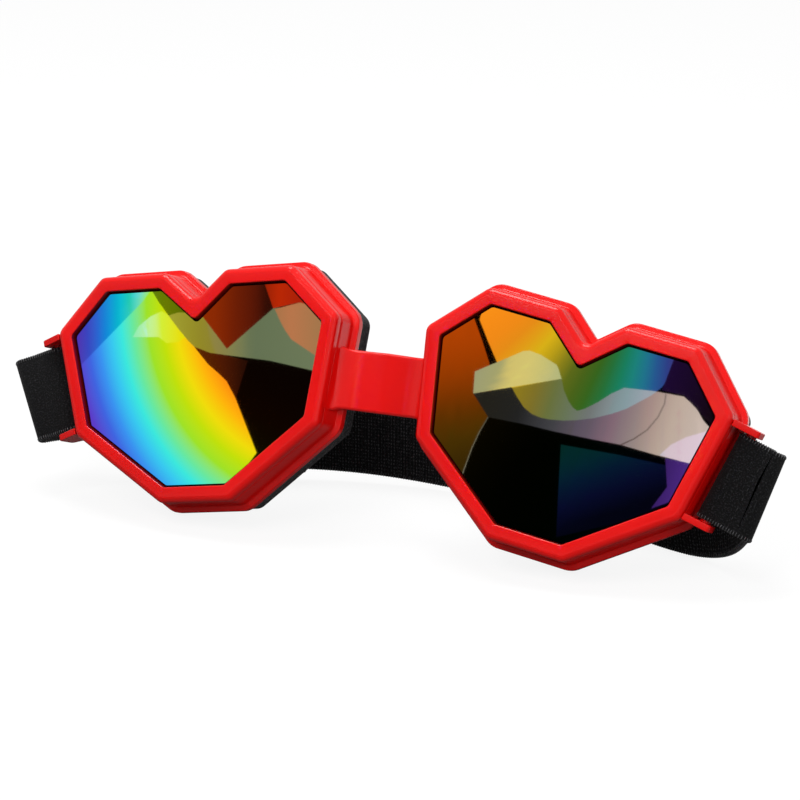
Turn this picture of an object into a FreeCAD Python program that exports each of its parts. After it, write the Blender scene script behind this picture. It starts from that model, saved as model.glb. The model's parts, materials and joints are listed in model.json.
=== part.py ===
import FreeCAD, Part
import math
import os
from FreeCAD import Placement, Rotation, Vector

# Heart goggles: two faceted heart eyecups on one moulded frame, each with a front bezel, a mirror lens
# and a foam face pad, worn on an elastic strap that is looped round a bar at each outer side.
# All lengths are in millimetres. Left and right are as seen from the front.

# Heart outline of one eye, seen from the front and measured from its own centre
heart_half_width = 36.0
lobe_height = 30.0
lobe_flat_inner = 7.7
lobe_flat_outer = 24.5
notch_height = 23.4
side_upper_height = 17.8
side_lower_half_width = 31.0
side_lower_drop = 6.5
tip_half_width = 8.9
tip_drop = 22.8
corner_radius = 2.4
notch_radius = 2.0
inner_corner_radius = 1.2
inner_notch_radius = 1.2
flat_tolerance = 0.001

# Place of the two hearts: half their spacing, the wrap round the face, the outward roll of their tops
eye_half_spacing = 43.3
wrap_angle = 3.5
roll_angle = 9.0

# The goggles lean back on their strap when they are put down
lean_angle = 21.7

# Bezel: the front ring that traps the lens
bezel_depth = 2.8
bezel_face_width = 3.5
bezel_round = 1.1
bezel_inner_chamfer = 0.35
bezel_inner_draft = 0.4
tongue_thickness = 1.0
tongue_length = 1.05
tongue_clearance = 0.1

# Eyecup: the moulded wall behind the bezel, with a lens ledge in front and a flange behind
seam_gap = 0.3
lip_thickness = 0.8
cup_front_inset = 0.5
cup_front_round = 0.5
cup_flare = 0.45
cup_back = 10.7
wall_thickness = 2.0
ledge_thickness = 1.4
window_inset = 4.4
flange_reach = 1.75
flange_thickness = 2.2
flange_round = 0.3
flange_notch_radius = 0.6

# Lens, double-sided tape and face foam
lens_thickness = 1.2
lens_clearance = 0.3
lens_crown_rise = 1.4
lens_crown_clearance = 0.15
tape_thickness = 0.3
tape_margin = 0.8
foam_thickness = 6.2
foam_ring_width = 5.2
foam_inset = 0.8
foam_round = 0.9
foam_waist = 0.25

# Nose bridge between the eyecups
bridge_top = 16.6
bridge_bottom = 2.9
bridge_front = 5.1
bridge_thickness = 2.9
bridge_root_front = 2.25
bridge_fillet = 2.2
bridge_edge_round = 0.6
root_embed = 0.6

# Strap lugs: two ears and a bar on the outer side of each eyecup
ear_thickness = 1.5
ear_reach = 6.1
ear_front = 0.7
ear_bezel_gap = 0.15
ear_front_slope = 2.8
ear_back_slope = 1.2
ear_tip_round = 1.1
bar_diameter = 2.4
bar_reach = 3.9
bar_depth = 7.0

# Elastic strap
strap_width = 20.0
strap_thickness = 1.1
layer_gap = 0.15
strap_side_clearance = 0.6
loop_clearance = 0.08
loop_tail = 6.0
loop_eye_reach = 3.4
joint_gap = 0.3
fold_radius = 2.6
fold_angle = 112.0
strap_reach = 42.0
strap_bow_radius = 105.0
strap_bow_angle = 20.0
strap_fold_handle = 15.0
strap_run_handle = 12.0
tail_beyond_run = 8.0
hem_length = 6.0

# Strap adjuster: a moulded slide that holds both layers of the strap
adjuster_length = 10.0
adjuster_rail = 2.0
adjuster_bar = 1.5
adjuster_outer_bar_width = 2.2
adjuster_middle_bar_width = 3.0
adjuster_clearance = 0.3
adjuster_round = 0.6
adjuster_travel = 6.0
adjuster_floor_gap = 0.4

# Sewing thread
stitch_length = 1.5
stitch_pitch = 2.1
stitch_width = 0.45
stitch_rise = 0.3
stitch_lift = 0.02
stitch_setback = 0.8

# Counts and shares
round_steps = 3
fold_sections = 8
twist_sections = 12
bow_sections = 8
overrun = 1.0

LEFT = -1
RIGHT = 1
SIDE_NAMES = {LEFT: "left", RIGHT: "right"}
UP = Vector(0, 0, 1)
BACK = Vector(0, 1, 0)
ACROSS = Vector(1, 0, 0)


# Depths and insets that follow from the sizes above
cup_front = bezel_depth + seam_gap
ledge_depth = bezel_depth + lens_thickness
ledge_back = ledge_depth + ledge_thickness
flange_front = cup_back - flange_thickness
tongue_outer_inset = lip_thickness + tongue_clearance
tongue_inner_inset = tongue_outer_inset + tongue_thickness
lens_inset = tongue_inner_inset + lens_clearance
foam_front = cup_back + tape_thickness
foam_back = foam_front + foam_thickness
foam_grow = flange_reach - foam_inset
foam_inner_grow = foam_grow - foam_ring_width
layer_pitch = strap_thickness + layer_gap
bar_radius = bar_diameter / 2
strap_left_lift = adjuster_rail + adjuster_clearance + adjuster_floor_gap
strap_run = adjuster_length + 2 * adjuster_travel


# Outlines


def unit(a, b):
    length = math.hypot(b[0] - a[0], b[1] - a[1])
    return ((b[0] - a[0]) / length, (b[1] - a[1]) / length)


def crossing(p, d, q, e):
    """Where the line from p along d meets the line from q along e."""
    turn = d[0] * e[1] - d[1] * e[0]
    reach = ((q[0] - p[0]) * e[1] - (q[1] - p[1]) * e[0]) / turn
    return (p[0] + d[0] * reach, p[1] + d[1] * reach)


def heart_corners(grow):
    """The heart's eleven corners, clockwise from the notch, with every side moved out by grow."""
    right = [
        (lobe_flat_inner, lobe_height),
        (lobe_flat_outer, lobe_height),
        (heart_half_width, side_upper_height),
        (side_lower_half_width, -side_lower_drop),
        (tip_half_width, -tip_drop),
    ]
    left = [(-x, z) for x, z in reversed(right)]
    corners = [(0, notch_height)] + right + left
    sides = []
    for start, end in zip(corners, corners[1:] + corners[:1]):
        along = unit(start, end)
        sides.append(((start[0] - along[1] * grow, start[1] + along[0] * grow), along))
    return [crossing(*sides[i - 1], *sides[i]) for i in range(len(sides))]


def corner_stops(corners, radii):
    """For each corner, where its arc starts, passes and ends, and the arc's centre."""
    stops = []
    for i, corner in enumerate(corners):
        before = unit(corners[i - 1], corner)
        after = unit(corner, corners[(i + 1) % len(corners)])
        turn = math.acos(before[0] * after[0] + before[1] * after[1])
        back = radii[i] * math.tan(turn / 2)
        inward = unit(before, after)
        rise = radii[i] / math.cos(turn / 2)
        first = (corner[0] - before[0] * back, corner[1] - before[1] * back)
        middle = (corner[0] + inward[0] * (rise - radii[i]), corner[1] + inward[1] * (rise - radii[i]))
        last = (corner[0] + after[0] * back, corner[1] + after[1] * back)
        centre = (corner[0] + inward[0] * rise, corner[1] + inward[1] * rise)
        stops.append((first, middle, last, centre))
    return stops


def rounded_wire(corners, radii, lift):
    """A closed wire through flat corners, each rounded by its radius; lift makes a point of two numbers."""
    stops = corner_stops(corners, radii)
    edges = []
    for i, (first, middle, last, _) in enumerate(stops):
        if radii[i] > 0:
            edges.append(Part.Arc(lift(*first), lift(*middle), lift(*last)).toShape())
        edges.append(Part.LineSegment(lift(*last), lift(*stops[(i + 1) % len(stops)][0])).toShape())
    return Part.Wire(edges)


def skin(faces):
    """One solid from the faces that close it."""
    shell = Part.Shell(faces)
    shell.sewShape()
    if Part.Solid(shell).Volume < 0:
        shell.reverse()
    return Part.Solid(shell)


def flat_face(points):
    return Part.Face(Part.makePolygon(points + points[:1]))


def heart_solid(levels, corner=None, notch=None):
    """A solid skinned through heart outlines given as (grow, depth) pairs.

    The corner and notch radii hold at the first level. Arcs keep their centres from level to level, so
    the sides are flat and the corners are true cylinders and cones.
    """
    corner = corner_radius if corner is None else corner
    notch = notch_radius if notch is None else notch
    outlines = []
    for grow, depth in levels:
        change = grow - levels[0][0]
        corners = heart_corners(grow)
        radii = [notch - change] + [corner + change] * (len(corners) - 1)
        outlines.append((corner_stops(corners, radii), radii, depth))
    caps = []
    for grow, (stops, radii, depth) in ((levels[0][0], outlines[0]), (levels[-1][0], outlines[-1])):
        caps.append(Part.Face(rounded_wire(heart_corners(grow), radii, lambda x, z: Vector(x, depth, z))))
    faces = list(caps)
    for (near, _, near_depth), (far, _, far_depth) in zip(outlines, outlines[1:]):
        for i in range(len(near)):
            ahead = (i + 1) % len(near)
            ends = [near[i][2], near[ahead][0], far[ahead][0], far[i][2]]
            depths = [near_depth, near_depth, far_depth, far_depth]
            faces.append(flat_face([Vector(x, y, z) for (x, z), y in zip(ends, depths)]))
            slant = Part.makeLine(
                Vector(near[i][0][0], near_depth, near[i][0][1]), Vector(far[i][0][0], far_depth, far[i][0][1]))
            axis = Vector(near[i][3][0], near_depth, near[i][3][1])
            faces.append(slant.revolve(axis, BACK, arc_angle(near[i])))
    return skin(faces)


def arc_angle(stop):
    """Signed angle in degrees of a corner's arc, by the right hand about the depth axis."""
    first, _, last, centre = stop
    start = math.atan2(first[0] - centre[0], first[1] - centre[1])
    end = math.atan2(last[0] - centre[0], last[1] - centre[1])
    return math.degrees(math.remainder(end - start, 2 * math.pi))


def front_round(grow, depth, radius):
    """Levels of an edge rounded towards the front, ending at grow."""
    angles = [math.radians(90 * i / round_steps) for i in range(round_steps + 1)]
    return [(grow - radius + radius * math.sin(a), depth + radius - radius * math.cos(a)) for a in angles]


# Pieces of one eye, in the heart's own frame with the front face at depth 0


def make_bezel():
    rounding = front_round(0, 0, bezel_round)
    body = heart_solid(rounding + [(0, bezel_depth)], corner_radius - bezel_round, notch_radius + bezel_round)
    edge = -bezel_face_width
    wider = 2 * bezel_inner_chamfer
    opening = heart_solid([
        (edge + wider, -bezel_inner_chamfer),
        (edge, bezel_inner_chamfer),
        (edge - bezel_inner_draft, bezel_depth + tongue_length + overrun),
    ], inner_corner_radius + wider, inner_notch_radius)
    tongue_back = bezel_depth + tongue_length
    tongue = inner_prism(tongue_outer_inset, bezel_depth, tongue_back)
    tongue = tongue.cut(inner_prism(tongue_inner_inset, bezel_depth, tongue_back))
    return body.fuse(tongue).cut(opening).removeSplitter()


def inner_prism(inset, front, back):
    """A straight heart prism, smaller than the outline by inset."""
    return heart_solid([(-inset, front), (-inset, back)], inner_corner_radius, inner_notch_radius)


def make_lens():
    """A plate behind the bezel with a crown that stands forward in the bezel's opening."""
    plate = inner_prism(lens_inset, bezel_depth, ledge_depth)
    crown_inset = bezel_face_width + bezel_inner_draft + lens_crown_clearance
    return plate.fuse(inner_prism(crown_inset, bezel_depth - lens_crown_rise, bezel_depth)).removeSplitter()


def make_cup():
    outer = heart_solid([
        (-cup_front_inset, cup_front),
        (0, cup_front + cup_front_round),
        (cup_flare, flange_front),
        (flange_reach, flange_front + flange_round),
        (flange_reach, cup_back),
    ], notch=flange_notch_radius + flange_reach + cup_front_inset)
    rebate = inner_prism(lip_thickness, cup_front - overrun, ledge_depth)
    window = inner_prism(window_inset, ledge_depth - overrun, ledge_back + overrun)
    hollow = inner_prism(wall_thickness, ledge_back, cup_back + overrun)
    return outer.cut(rebate).cut(hollow).cut(window)


def make_tape():
    outer = heart_solid([(flange_reach - tape_margin, cup_back), (flange_reach - tape_margin, foam_front)])
    return outer.cut(inner_prism(wall_thickness, cup_back - overrun, foam_front + overrun))


def make_foam():
    waist = (foam_front + foam_back) / 2
    shoulder = foam_back - foam_round
    edge = [(grow, foam_back + foam_front - depth) for grow, depth in front_round(foam_grow, foam_front, foam_round)]
    outer = heart_solid([(foam_grow, foam_front), (foam_grow - foam_waist, waist)] + list(reversed(edge)))
    inner = heart_solid([
        (foam_inner_grow, foam_front - overrun),
        (foam_inner_grow, foam_front),
        (foam_inner_grow + foam_waist, waist),
        (foam_inner_grow, shoulder),
        (foam_inner_grow + foam_round, foam_back),
        (foam_inner_grow + foam_round, foam_back + overrun),
    ], inner_corner_radius, notch_radius)
    return outer.cut(inner)


# Places: a heart on the goggles, and the goggles leaning back on the floor


def heart_place(side):
    turn = Rotation(UP, side * wrap_angle) * Rotation(BACK, side * roll_angle)
    return Placement(Vector(side * eye_half_spacing, 0, 0), turn)


def placed(shape, place):
    moved = shape.copy()
    moved.Placement = place.multiply(moved.Placement)
    return moved


def lowest_point(shape):
    return shape.optimalBoundingBox(False, False).ZMin


foam_shape = make_foam()
lean_turn = Placement(Vector(0, 0, 0), Rotation(ACROSS, -lean_angle))
floor_drop = min(lowest_point(placed(foam_shape, lean_turn.multiply(heart_place(side)))) for side in (LEFT, RIGHT))
lean_place = Placement(Vector(0, 0, -floor_drop), Rotation(ACROSS, -lean_angle))


# Strap lugs, built beside the heart's outer lower side


def lug_frame(side):
    """Place whose X runs out from the heart's outer side, Y goes back and Z runs up along that side."""
    upper = (heart_half_width, side_upper_height)
    lower = (side_lower_half_width, -side_lower_drop)
    along = unit(lower, upper)
    middle = Vector(side * (upper[0] + lower[0]) / 2, 0, (upper[1] + lower[1]) / 2)
    tilt = math.degrees(math.atan2(along[0], along[1]))
    turn = Rotation(BACK, side * tilt)
    if side == LEFT:
        turn = turn * Rotation(UP, 180)
    return heart_place(side).multiply(Placement(middle, turn))


def depth_sign(side):
    """The lug frame's Y points back on the right side and forward on the left side."""
    return side


def lug_plan(side, points, radii, z, height):
    sign = depth_sign(side)
    corners = [(out, sign * depth) for out, depth in points]
    wire = rounded_wire(corners, radii, lambda out, depth: Vector(out, depth, z))
    return Part.Face(wire).extrude(UP * height)


def make_lug(side):
    shoulder = cup_front + cup_front_round
    ear = [
        (ear_bezel_gap, ear_front),
        (ear_reach, ear_front + ear_front_slope),
        (ear_reach, cup_back - ear_back_slope),
        (-root_embed, cup_back),
        (-root_embed, shoulder),
        (ear_bezel_gap, shoulder),
    ]
    radii = [0, ear_tip_round, ear_tip_round, 0, 0, 0]
    gap = strap_width + 2 * strap_side_clearance
    upper = lug_plan(side, ear, radii, gap / 2, ear_thickness)
    lower = lug_plan(side, ear, radii, -gap / 2 - ear_thickness, ear_thickness)
    foot = Vector(bar_reach, depth_sign(side) * bar_depth, -gap / 2 - ear_thickness / 2)
    bar = Part.makeCylinder(bar_radius, gap + ear_thickness, foot, UP)
    return placed(upper.fuse([lower, bar]), lug_frame(side))


def inner_wall_reach(height):
    """How far from the middle the right heart's inner side lies, at a height on the goggles."""
    roll = math.radians(roll_angle)
    ends = []
    for x, z in ((-heart_half_width, side_upper_height), (-side_lower_half_width, -side_lower_drop)):
        across = x * math.cos(roll) + z * math.sin(roll)
        ends.append((eye_half_spacing + across, z * math.cos(roll) - x * math.sin(roll)))
    (upper_reach, upper), (lower_reach, lower) = ends
    return upper_reach + (lower_reach - upper_reach) * (height - upper) / (lower - upper)


def make_bridge():
    back = bridge_front + bridge_thickness
    reaches = (inner_wall_reach(bridge_top), inner_wall_reach(bridge_bottom))
    wall = min(reaches) - cup_flare
    root = max(reaches) + root_embed
    dip = wall * math.tan(math.radians(wrap_angle))
    half = [
        (0, bridge_front),
        (wall, bridge_front - dip),
        (wall, bridge_root_front),
        (root, bridge_root_front),
        (root, back),
    ]
    radii = [0, bridge_fillet, 0, 0, 0]
    other = [(-x, y) for x, y in reversed(half[1:])]
    radii = radii + list(reversed(radii[1:]))
    wire = rounded_wire(half + other, radii, lambda x, y: Vector(x, y, bridge_bottom))
    strip = Part.Face(wire).extrude(UP * (bridge_top - bridge_bottom))
    rims = [
        edge for edge in strip.Edges
        if abs(edge.BoundBox.ZLength) < flat_tolerance and edge.BoundBox.XMax < wall
        and edge.BoundBox.XMin > -wall
    ]
    return strip.makeFillet(bridge_edge_round, rims)


def make_frame():
    cup = make_cup()
    pieces = [placed(cup, heart_place(RIGHT)), make_bridge(), make_lug(LEFT), make_lug(RIGHT)]
    return placed(placed(cup, heart_place(LEFT)).fuse(pieces).removeSplitter(), lean_place)


# Strap loops: the strap's end turned round a bar, with two layers running out from it


def tangent_from(point, radius):
    """Point where a line from a point on the X axis side touches a circle round the origin."""
    reach = math.hypot(*point)
    angle = math.atan2(point[1], point[0]) + math.acos(radius / reach)
    return (radius * math.cos(angle), radius * math.sin(angle))


def teardrop(radius, tip_reach, tip_half):
    """A circle round the origin drawn out to a tip on the X axis, as a closed wire in the XY plane."""
    touch = tangent_from((tip_reach, tip_half), radius)
    upper = Vector(touch[0], touch[1], 0)
    lower = Vector(touch[0], -touch[1], 0)
    upper_tip = Vector(tip_reach, tip_half, 0)
    lower_tip = Vector(tip_reach, -tip_half, 0)
    edges = [
        Part.Arc(upper, Vector(-radius, 0, 0), lower).toShape(),
        Part.LineSegment(lower, lower_tip).toShape(),
        Part.LineSegment(upper_tip, upper).toShape(),
    ]
    if tip_half > 0:
        edges.insert(2, Part.LineSegment(lower_tip, upper_tip).toShape())
    return Part.Wire(edges)


def bar_place(side):
    foot = Vector(bar_reach, depth_sign(side) * bar_depth, -strap_width / 2)
    return lean_place.multiply(lug_frame(side)).multiply(Placement(foot, Rotation()))


tail_half = (strap_thickness + layer_pitch) / 2
loop_inner_radius = bar_radius + loop_clearance
loop_outer_radius = loop_inner_radius + strap_thickness


def make_loop(side):
    outer = Part.Face(teardrop(loop_outer_radius, loop_tail, tail_half)).extrude(UP * strap_width)
    inner = Part.Face(teardrop(loop_inner_radius, loop_eye_reach, 0)).extrude(UP * strap_width)
    return placed(outer.cut(inner), bar_place(side))


def stitch_row(width):
    """Raised stitches side by side along Z, each lying just over the plane Y = 0."""
    count = int((width - stitch_pitch) / stitch_pitch)
    start = (width - (count - 1) * stitch_pitch - stitch_length) / 2
    row = []
    for i in range(count):
        corner = Vector(-stitch_width / 2, stitch_lift, start + i * stitch_pitch)
        row.append(Part.makeBox(stitch_width, stitch_rise, stitch_length, corner))
    return Part.makeCompound(row)


def make_loop_stitching(side):
    """A sewn row across the front layer of a loop, near the end of its tail."""
    front = -depth_sign(side)
    touch = tangent_from((loop_tail, tail_half), loop_outer_radius)
    slope = math.degrees(math.atan2(touch[1] - tail_half, loop_tail - touch[0]))
    spot = Vector(loop_tail - stitch_setback, 0, 0)
    spot.y = front * (tail_half + stitch_setback * math.tan(math.radians(slope)))
    row = stitch_row(strap_width)
    if front < 0:
        row = row.mirror(Vector(0, 0, 0), BACK)
    seat = Placement(spot, Rotation(UP, -front * slope))
    return placed(placed(row, seat), bar_place(side))


# Strap run: sections along a smooth path from one loop, round behind, to the other


def smooth_share(t):
    """Smooth rise from 0 to 1."""
    return t * t * (3 - 2 * t)


def bow_point(angle):
    """Point of the rear bow in plan, by its angle from the middle."""
    centre = strap_reach - strap_bow_radius
    return (strap_bow_radius * math.sin(angle), centre + strap_bow_radius * math.cos(angle))


def run_height(angle, bow):
    """Height of the strap's middle: the left half is lifted so that the adjuster clears the floor."""
    share = smooth_share((bow - angle) / (2 * bow))
    return strap_width / 2 + strap_left_lift * share


def mirrored(side, vector):
    return Vector(side * vector.x, vector.y, vector.z)


def fold_sections_of(side):
    """Sections (centre, width direction, inward direction) from a loop's tail to the straight run.

    The strap first folds back about the bar's direction, then twists upright on its way to the floor.
    """
    place = bar_place(side)
    turn = place.Rotation
    out = mirrored(side, turn.multVec(ACROSS))
    along = mirrored(side, turn.multVec(UP))
    back = mirrored(side, turn.multVec(BACK * depth_sign(side)))
    middle = Vector(loop_tail + joint_gap, 0, strap_width / 2)
    start = mirrored(side, place.multVec(middle)) - back * (layer_pitch / 2)
    sections = []
    for i in range(fold_sections + 1):
        angle = math.radians(fold_angle) * i / fold_sections
        heading = out * math.cos(angle) + back * math.sin(angle)
        centre = start + out * (fold_radius * math.sin(angle)) + back * (fold_radius * (1 - math.cos(angle)))
        sections.append((centre, along, along.cross(heading)))
    bow = math.radians(strap_bow_angle)
    away = Vector(math.cos(bow), -math.sin(bow), 0)
    x, y = bow_point(bow)
    end = Vector(x, y, run_height(side * bow, bow)) + away * strap_run
    handles = [centre, centre + heading * strap_fold_handle, end + away * strap_run_handle, end]
    for i in range(1, twist_sections + 1):
        t = i / twist_sections
        s = 1 - t
        centre = handles[0] * s**3 + handles[1] * (3 * s * s * t) + handles[2] * (3 * s * t * t) + handles[3] * t**3
        heading = (handles[1] - handles[0]) * (s * s) + (handles[2] - handles[1]) * (2 * s * t)
        heading = heading + (handles[3] - handles[2]) * (t * t)
        heading.normalize()
        upright = along * (1 - smooth_share(t)) + UP * smooth_share(t)
        upright = upright - heading * upright.dot(heading)
        upright.normalize()
        sections.append((centre, upright, upright.cross(heading)))
    return [tuple(mirrored(side, v) for v in section) for section in sections]


def bow_sections_between(start, end):
    """Sections of the rear bow between two angles from its middle."""
    bow = math.radians(strap_bow_angle)
    sections = []
    for i in range(bow_sections + 1):
        angle = start + (end - start) * i / bow_sections
        x, y = bow_point(angle)
        inward = Vector(-math.sin(angle), -math.cos(angle), 0)
        sections.append((Vector(x, y, run_height(angle, bow)), UP, inward))
    return sections


def strip_solid(sections, inset):
    """A strap layer skinned through its sections, moved inward by inset."""
    rings = []
    for centre, upright, inward in sections:
        middle = centre + inward * inset
        half_up = upright * (strap_width / 2)
        half_in = inward * (strap_thickness / 2)
        rings.append([
            middle + half_up + half_in,
            middle + half_up - half_in,
            middle - half_up - half_in,
            middle - half_up + half_in,
        ])
    faces = [flat_face(rings[0]), flat_face(rings[-1])]
    for near, far in zip(rings, rings[1:]):
        for i in range(len(near)):
            faces.append(flat_face([near[i - 1], near[i], far[i]]))
            faces.append(flat_face([near[i - 1], far[i], far[i - 1]]))
    return skin(faces)


bow_angle = math.radians(strap_bow_angle)
tail_end_angle = -bow_angle + tail_beyond_run / strap_bow_radius
hem_start_angle = tail_end_angle - hem_length / strap_bow_radius


def make_band():
    right = fold_sections_of(RIGHT)
    left = list(reversed(fold_sections_of(LEFT)))
    return strip_solid(right + bow_sections_between(bow_angle, -bow_angle) + left, 0)


def make_tail():
    """The strap's end, back from the left bar inside the band, through the adjuster to its sewn hem."""
    run = strip_solid(fold_sections_of(LEFT) + bow_sections_between(-bow_angle, tail_end_angle), layer_pitch)
    hem = strip_solid(bow_sections_between(hem_start_angle, tail_end_angle), layer_pitch + strap_thickness)
    return run.fuse(hem).removeSplitter()


def make_hem_stitching():
    angle = hem_start_angle + stitch_setback / strap_bow_radius
    x, y = bow_point(angle)
    inward = Vector(-math.sin(angle), -math.cos(angle), 0)
    face = layer_pitch + strap_thickness + strap_thickness / 2
    spot = Vector(x, y, run_height(angle, bow_angle) - strap_width / 2) + inward * face
    row = stitch_row(strap_width).mirror(Vector(0, 0, 0), BACK)
    return placed(row, Placement(spot, Rotation(UP, -math.degrees(angle))))


# Adjuster: two rails joined by two outer bars and one inner bar


def adjuster_place():
    x, y = bow_point(-bow_angle)
    along = Vector(-math.cos(bow_angle), -math.sin(bow_angle), 0)
    spot = Vector(x, y, run_height(-bow_angle, bow_angle)) + along * (strap_run / 2)
    return Placement(spot, Rotation(UP, math.degrees(bow_angle)))


def make_adjuster():
    window_outer = strap_thickness / 2 + adjuster_clearance
    window_inner = layer_pitch + strap_thickness / 2 + adjuster_clearance
    opening = strap_width + 2 * adjuster_clearance
    height = opening + 2 * adjuster_rail
    outer = window_outer + adjuster_bar
    inner = window_inner + adjuster_bar
    block = Part.makeBox(
        adjuster_length, outer + inner, height, Vector(-adjuster_length / 2, -inner, -height / 2))
    long_edges = [edge for edge in block.Edges if abs(edge.BoundBox.XLength - adjuster_length) < flat_tolerance]
    block = block.makeFillet(adjuster_round, long_edges)
    tunnel = Part.makeBox(
        adjuster_length + 2 * overrun, window_outer + window_inner, opening,
        Vector(-adjuster_length / 2 - overrun, -window_inner, -opening / 2))
    slot_length = adjuster_length - 2 * adjuster_outer_bar_width
    outer_slot = Part.makeBox(
        slot_length, outer + overrun, opening, Vector(-slot_length / 2, 0, -opening / 2))
    end_length = (adjuster_length - adjuster_middle_bar_width) / 2 + overrun
    ends = []
    for start in (-adjuster_length / 2 - overrun, adjuster_middle_bar_width / 2):
        ends.append(Part.makeBox(end_length, inner + overrun, opening, Vector(start, -inner - overrun, -opening / 2)))
    return placed(block.cut([tunnel, outer_slot] + ends), adjuster_place())


# Assembly: every piece as its own node, with the origin under the middle of the whole


def build_nodes():
    nodes = {"goggle_frame": make_frame()}
    eye_pieces = {"bezel": make_bezel(), "lens": make_lens(), "foam_tape": make_tape(), "foam": foam_shape}
    for side, name in SIDE_NAMES.items():
        for piece, shape in eye_pieces.items():
            nodes[name + "_" + piece] = placed(shape, lean_place.multiply(heart_place(side)))
        nodes[name + "_strap_loop"] = make_loop(side)
    nodes["right_loop_stitching"] = make_loop_stitching(RIGHT)
    nodes["strap_band"] = make_band()
    nodes["strap_tail"] = make_tail()
    nodes["tail_hem_stitching"] = make_hem_stitching()
    nodes["strap_adjuster"] = make_adjuster()
    return nodes


def middle_depth(nodes):
    box = Part.makeCompound(list(nodes.values())).optimalBoundingBox(False, False)
    return (box.YMin + box.YMax) / 2


nodes = build_nodes()
origin_place = Placement(Vector(0, -middle_depth(nodes), 0), Rotation())
os.makedirs("parts", exist_ok=True)
for name, shape in nodes.items():
    placed(shape, origin_place).exportStep("parts/" + name + ".step")
print("nodes", len(nodes), "strap run", round(nodes["strap_band"].Volume / strap_width / strap_thickness, 1))
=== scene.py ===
# %% [markdown]
# Heart goggles, dressed. The imported CAD part is the fixed frame: every piece made here sits where the CAD
# says, and most of them move with the CAD body that they belong to. The goggles are two faceted heart
# eyecups in red plastic with rainbow mirror lenses, grey foam pads and a black elastic strap.

# %% Load the frame
import json
import math
import bmesh
import bpy
from mathutils import Matrix, Vector, noise

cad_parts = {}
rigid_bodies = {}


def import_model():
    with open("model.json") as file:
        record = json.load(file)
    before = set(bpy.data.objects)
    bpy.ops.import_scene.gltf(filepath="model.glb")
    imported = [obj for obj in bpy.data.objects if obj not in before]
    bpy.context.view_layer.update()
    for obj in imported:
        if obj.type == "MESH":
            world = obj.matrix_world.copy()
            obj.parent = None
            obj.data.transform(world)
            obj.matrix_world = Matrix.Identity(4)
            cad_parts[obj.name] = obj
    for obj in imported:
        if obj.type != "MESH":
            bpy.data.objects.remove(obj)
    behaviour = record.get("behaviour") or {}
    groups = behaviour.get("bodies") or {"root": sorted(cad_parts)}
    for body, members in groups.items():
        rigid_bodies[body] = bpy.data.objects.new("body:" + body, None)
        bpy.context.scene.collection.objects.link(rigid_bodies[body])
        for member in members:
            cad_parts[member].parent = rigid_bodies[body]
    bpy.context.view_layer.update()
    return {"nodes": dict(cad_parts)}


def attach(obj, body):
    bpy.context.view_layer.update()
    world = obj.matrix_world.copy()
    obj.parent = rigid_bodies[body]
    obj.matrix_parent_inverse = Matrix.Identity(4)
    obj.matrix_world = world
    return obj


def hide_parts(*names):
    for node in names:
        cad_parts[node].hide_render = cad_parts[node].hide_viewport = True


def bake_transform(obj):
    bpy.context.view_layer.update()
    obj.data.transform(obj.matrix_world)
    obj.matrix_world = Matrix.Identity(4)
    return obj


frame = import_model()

MM = 0.001
LEFT, RIGHT = -1, 1
SIDES = {LEFT: "left", RIGHT: "right"}

# %% [markdown]
# The camera stands a little to the right of the goggles and above them, with a long lens, as for a
# product shot. A long lens keeps the two hearts nearly the same size although one is farther away. Its
# place and its turn were found by fitting the corners of both hearts, so they are written as numbers.

# %% Camera
CAMERA_SPOT = Vector((0.24715, -0.59732, 0.24013))
CAMERA_RIGHT = Vector((0.9240, 0.3823, 0.0016)).normalized()
CAMERA_AHEAD = Vector((-0.3631, 0.8789, -0.3093)).normalized()
LONG_LENS, SENSOR = 135.0, 36.0


def linked(name, data):
    """A new object that holds the data, put in the scene."""
    thing = bpy.data.objects.new(name, data)
    bpy.context.scene.collection.objects.link(thing)
    return thing


camera_data = bpy.data.cameras.new("product_camera")
camera_data.lens, camera_data.sensor_width = LONG_LENS, SENSOR
camera = linked("product_camera", camera_data)
camera_up = CAMERA_RIGHT.cross(CAMERA_AHEAD).normalized()
camera_turn = Matrix((CAMERA_RIGHT, camera_up, -CAMERA_AHEAD)).transposed().to_4x4()
camera.matrix_world = Matrix.Translation(CAMERA_SPOT) @ camera_turn
bpy.context.scene.camera = camera
bpy.context.scene.view_settings.view_transform = "Standard"
print("camera at", [round(x, 3) for x in CAMERA_SPOT])

# %% [markdown]
# Every material is a small node tree. It could be clicked together in the shader editor, but in a script
# one function adds a node, sets its values and links its inputs, so a tree reads from top to bottom like
# a recipe. Colours are written as the hex values a painter would mix and turned into the linear
# values that the renderer works in. Texture scales count patches to the metre, so a scale is written as
# patches to the millimetre, divided by the length of a millimetre.


# %% Helpers for materials
def paint(hex_code):
    """A colour written as sRGB hex, in linear light."""
    parts = [int(hex_code[i:i + 2], 16) / 255 for i in (1, 3, 5)]
    return tuple(c / 12.92 if c <= 0.04045 else ((c + 0.055) / 1.055) ** 2.4 for c in parts) + (1.0,)


def add(tree, kind, inputs=None, stops=(), **settings):
    """One node. An input is a value, a socket or a node, which stands for its first output.

    Settings are the node's own properties, and stops are a ramp's (position, hex) pairs.
    """
    node = tree.nodes.new(kind)
    for key, value in settings.items():
        setattr(node, key, value)
    for key, value in (inputs or {}).items():
        source = value.outputs[0] if isinstance(value, bpy.types.Node) else value
        if isinstance(source, bpy.types.NodeSocket):
            tree.links.new(source, node.inputs[key])
        else:
            node.inputs[key].default_value = source
    for i, (position, colour) in enumerate(stops):
        marks = node.color_ramp.elements
        mark = marks[i] if i < len(marks) else marks.new(position)
        mark.position, mark.color = position, paint(colour)
    return node


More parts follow.
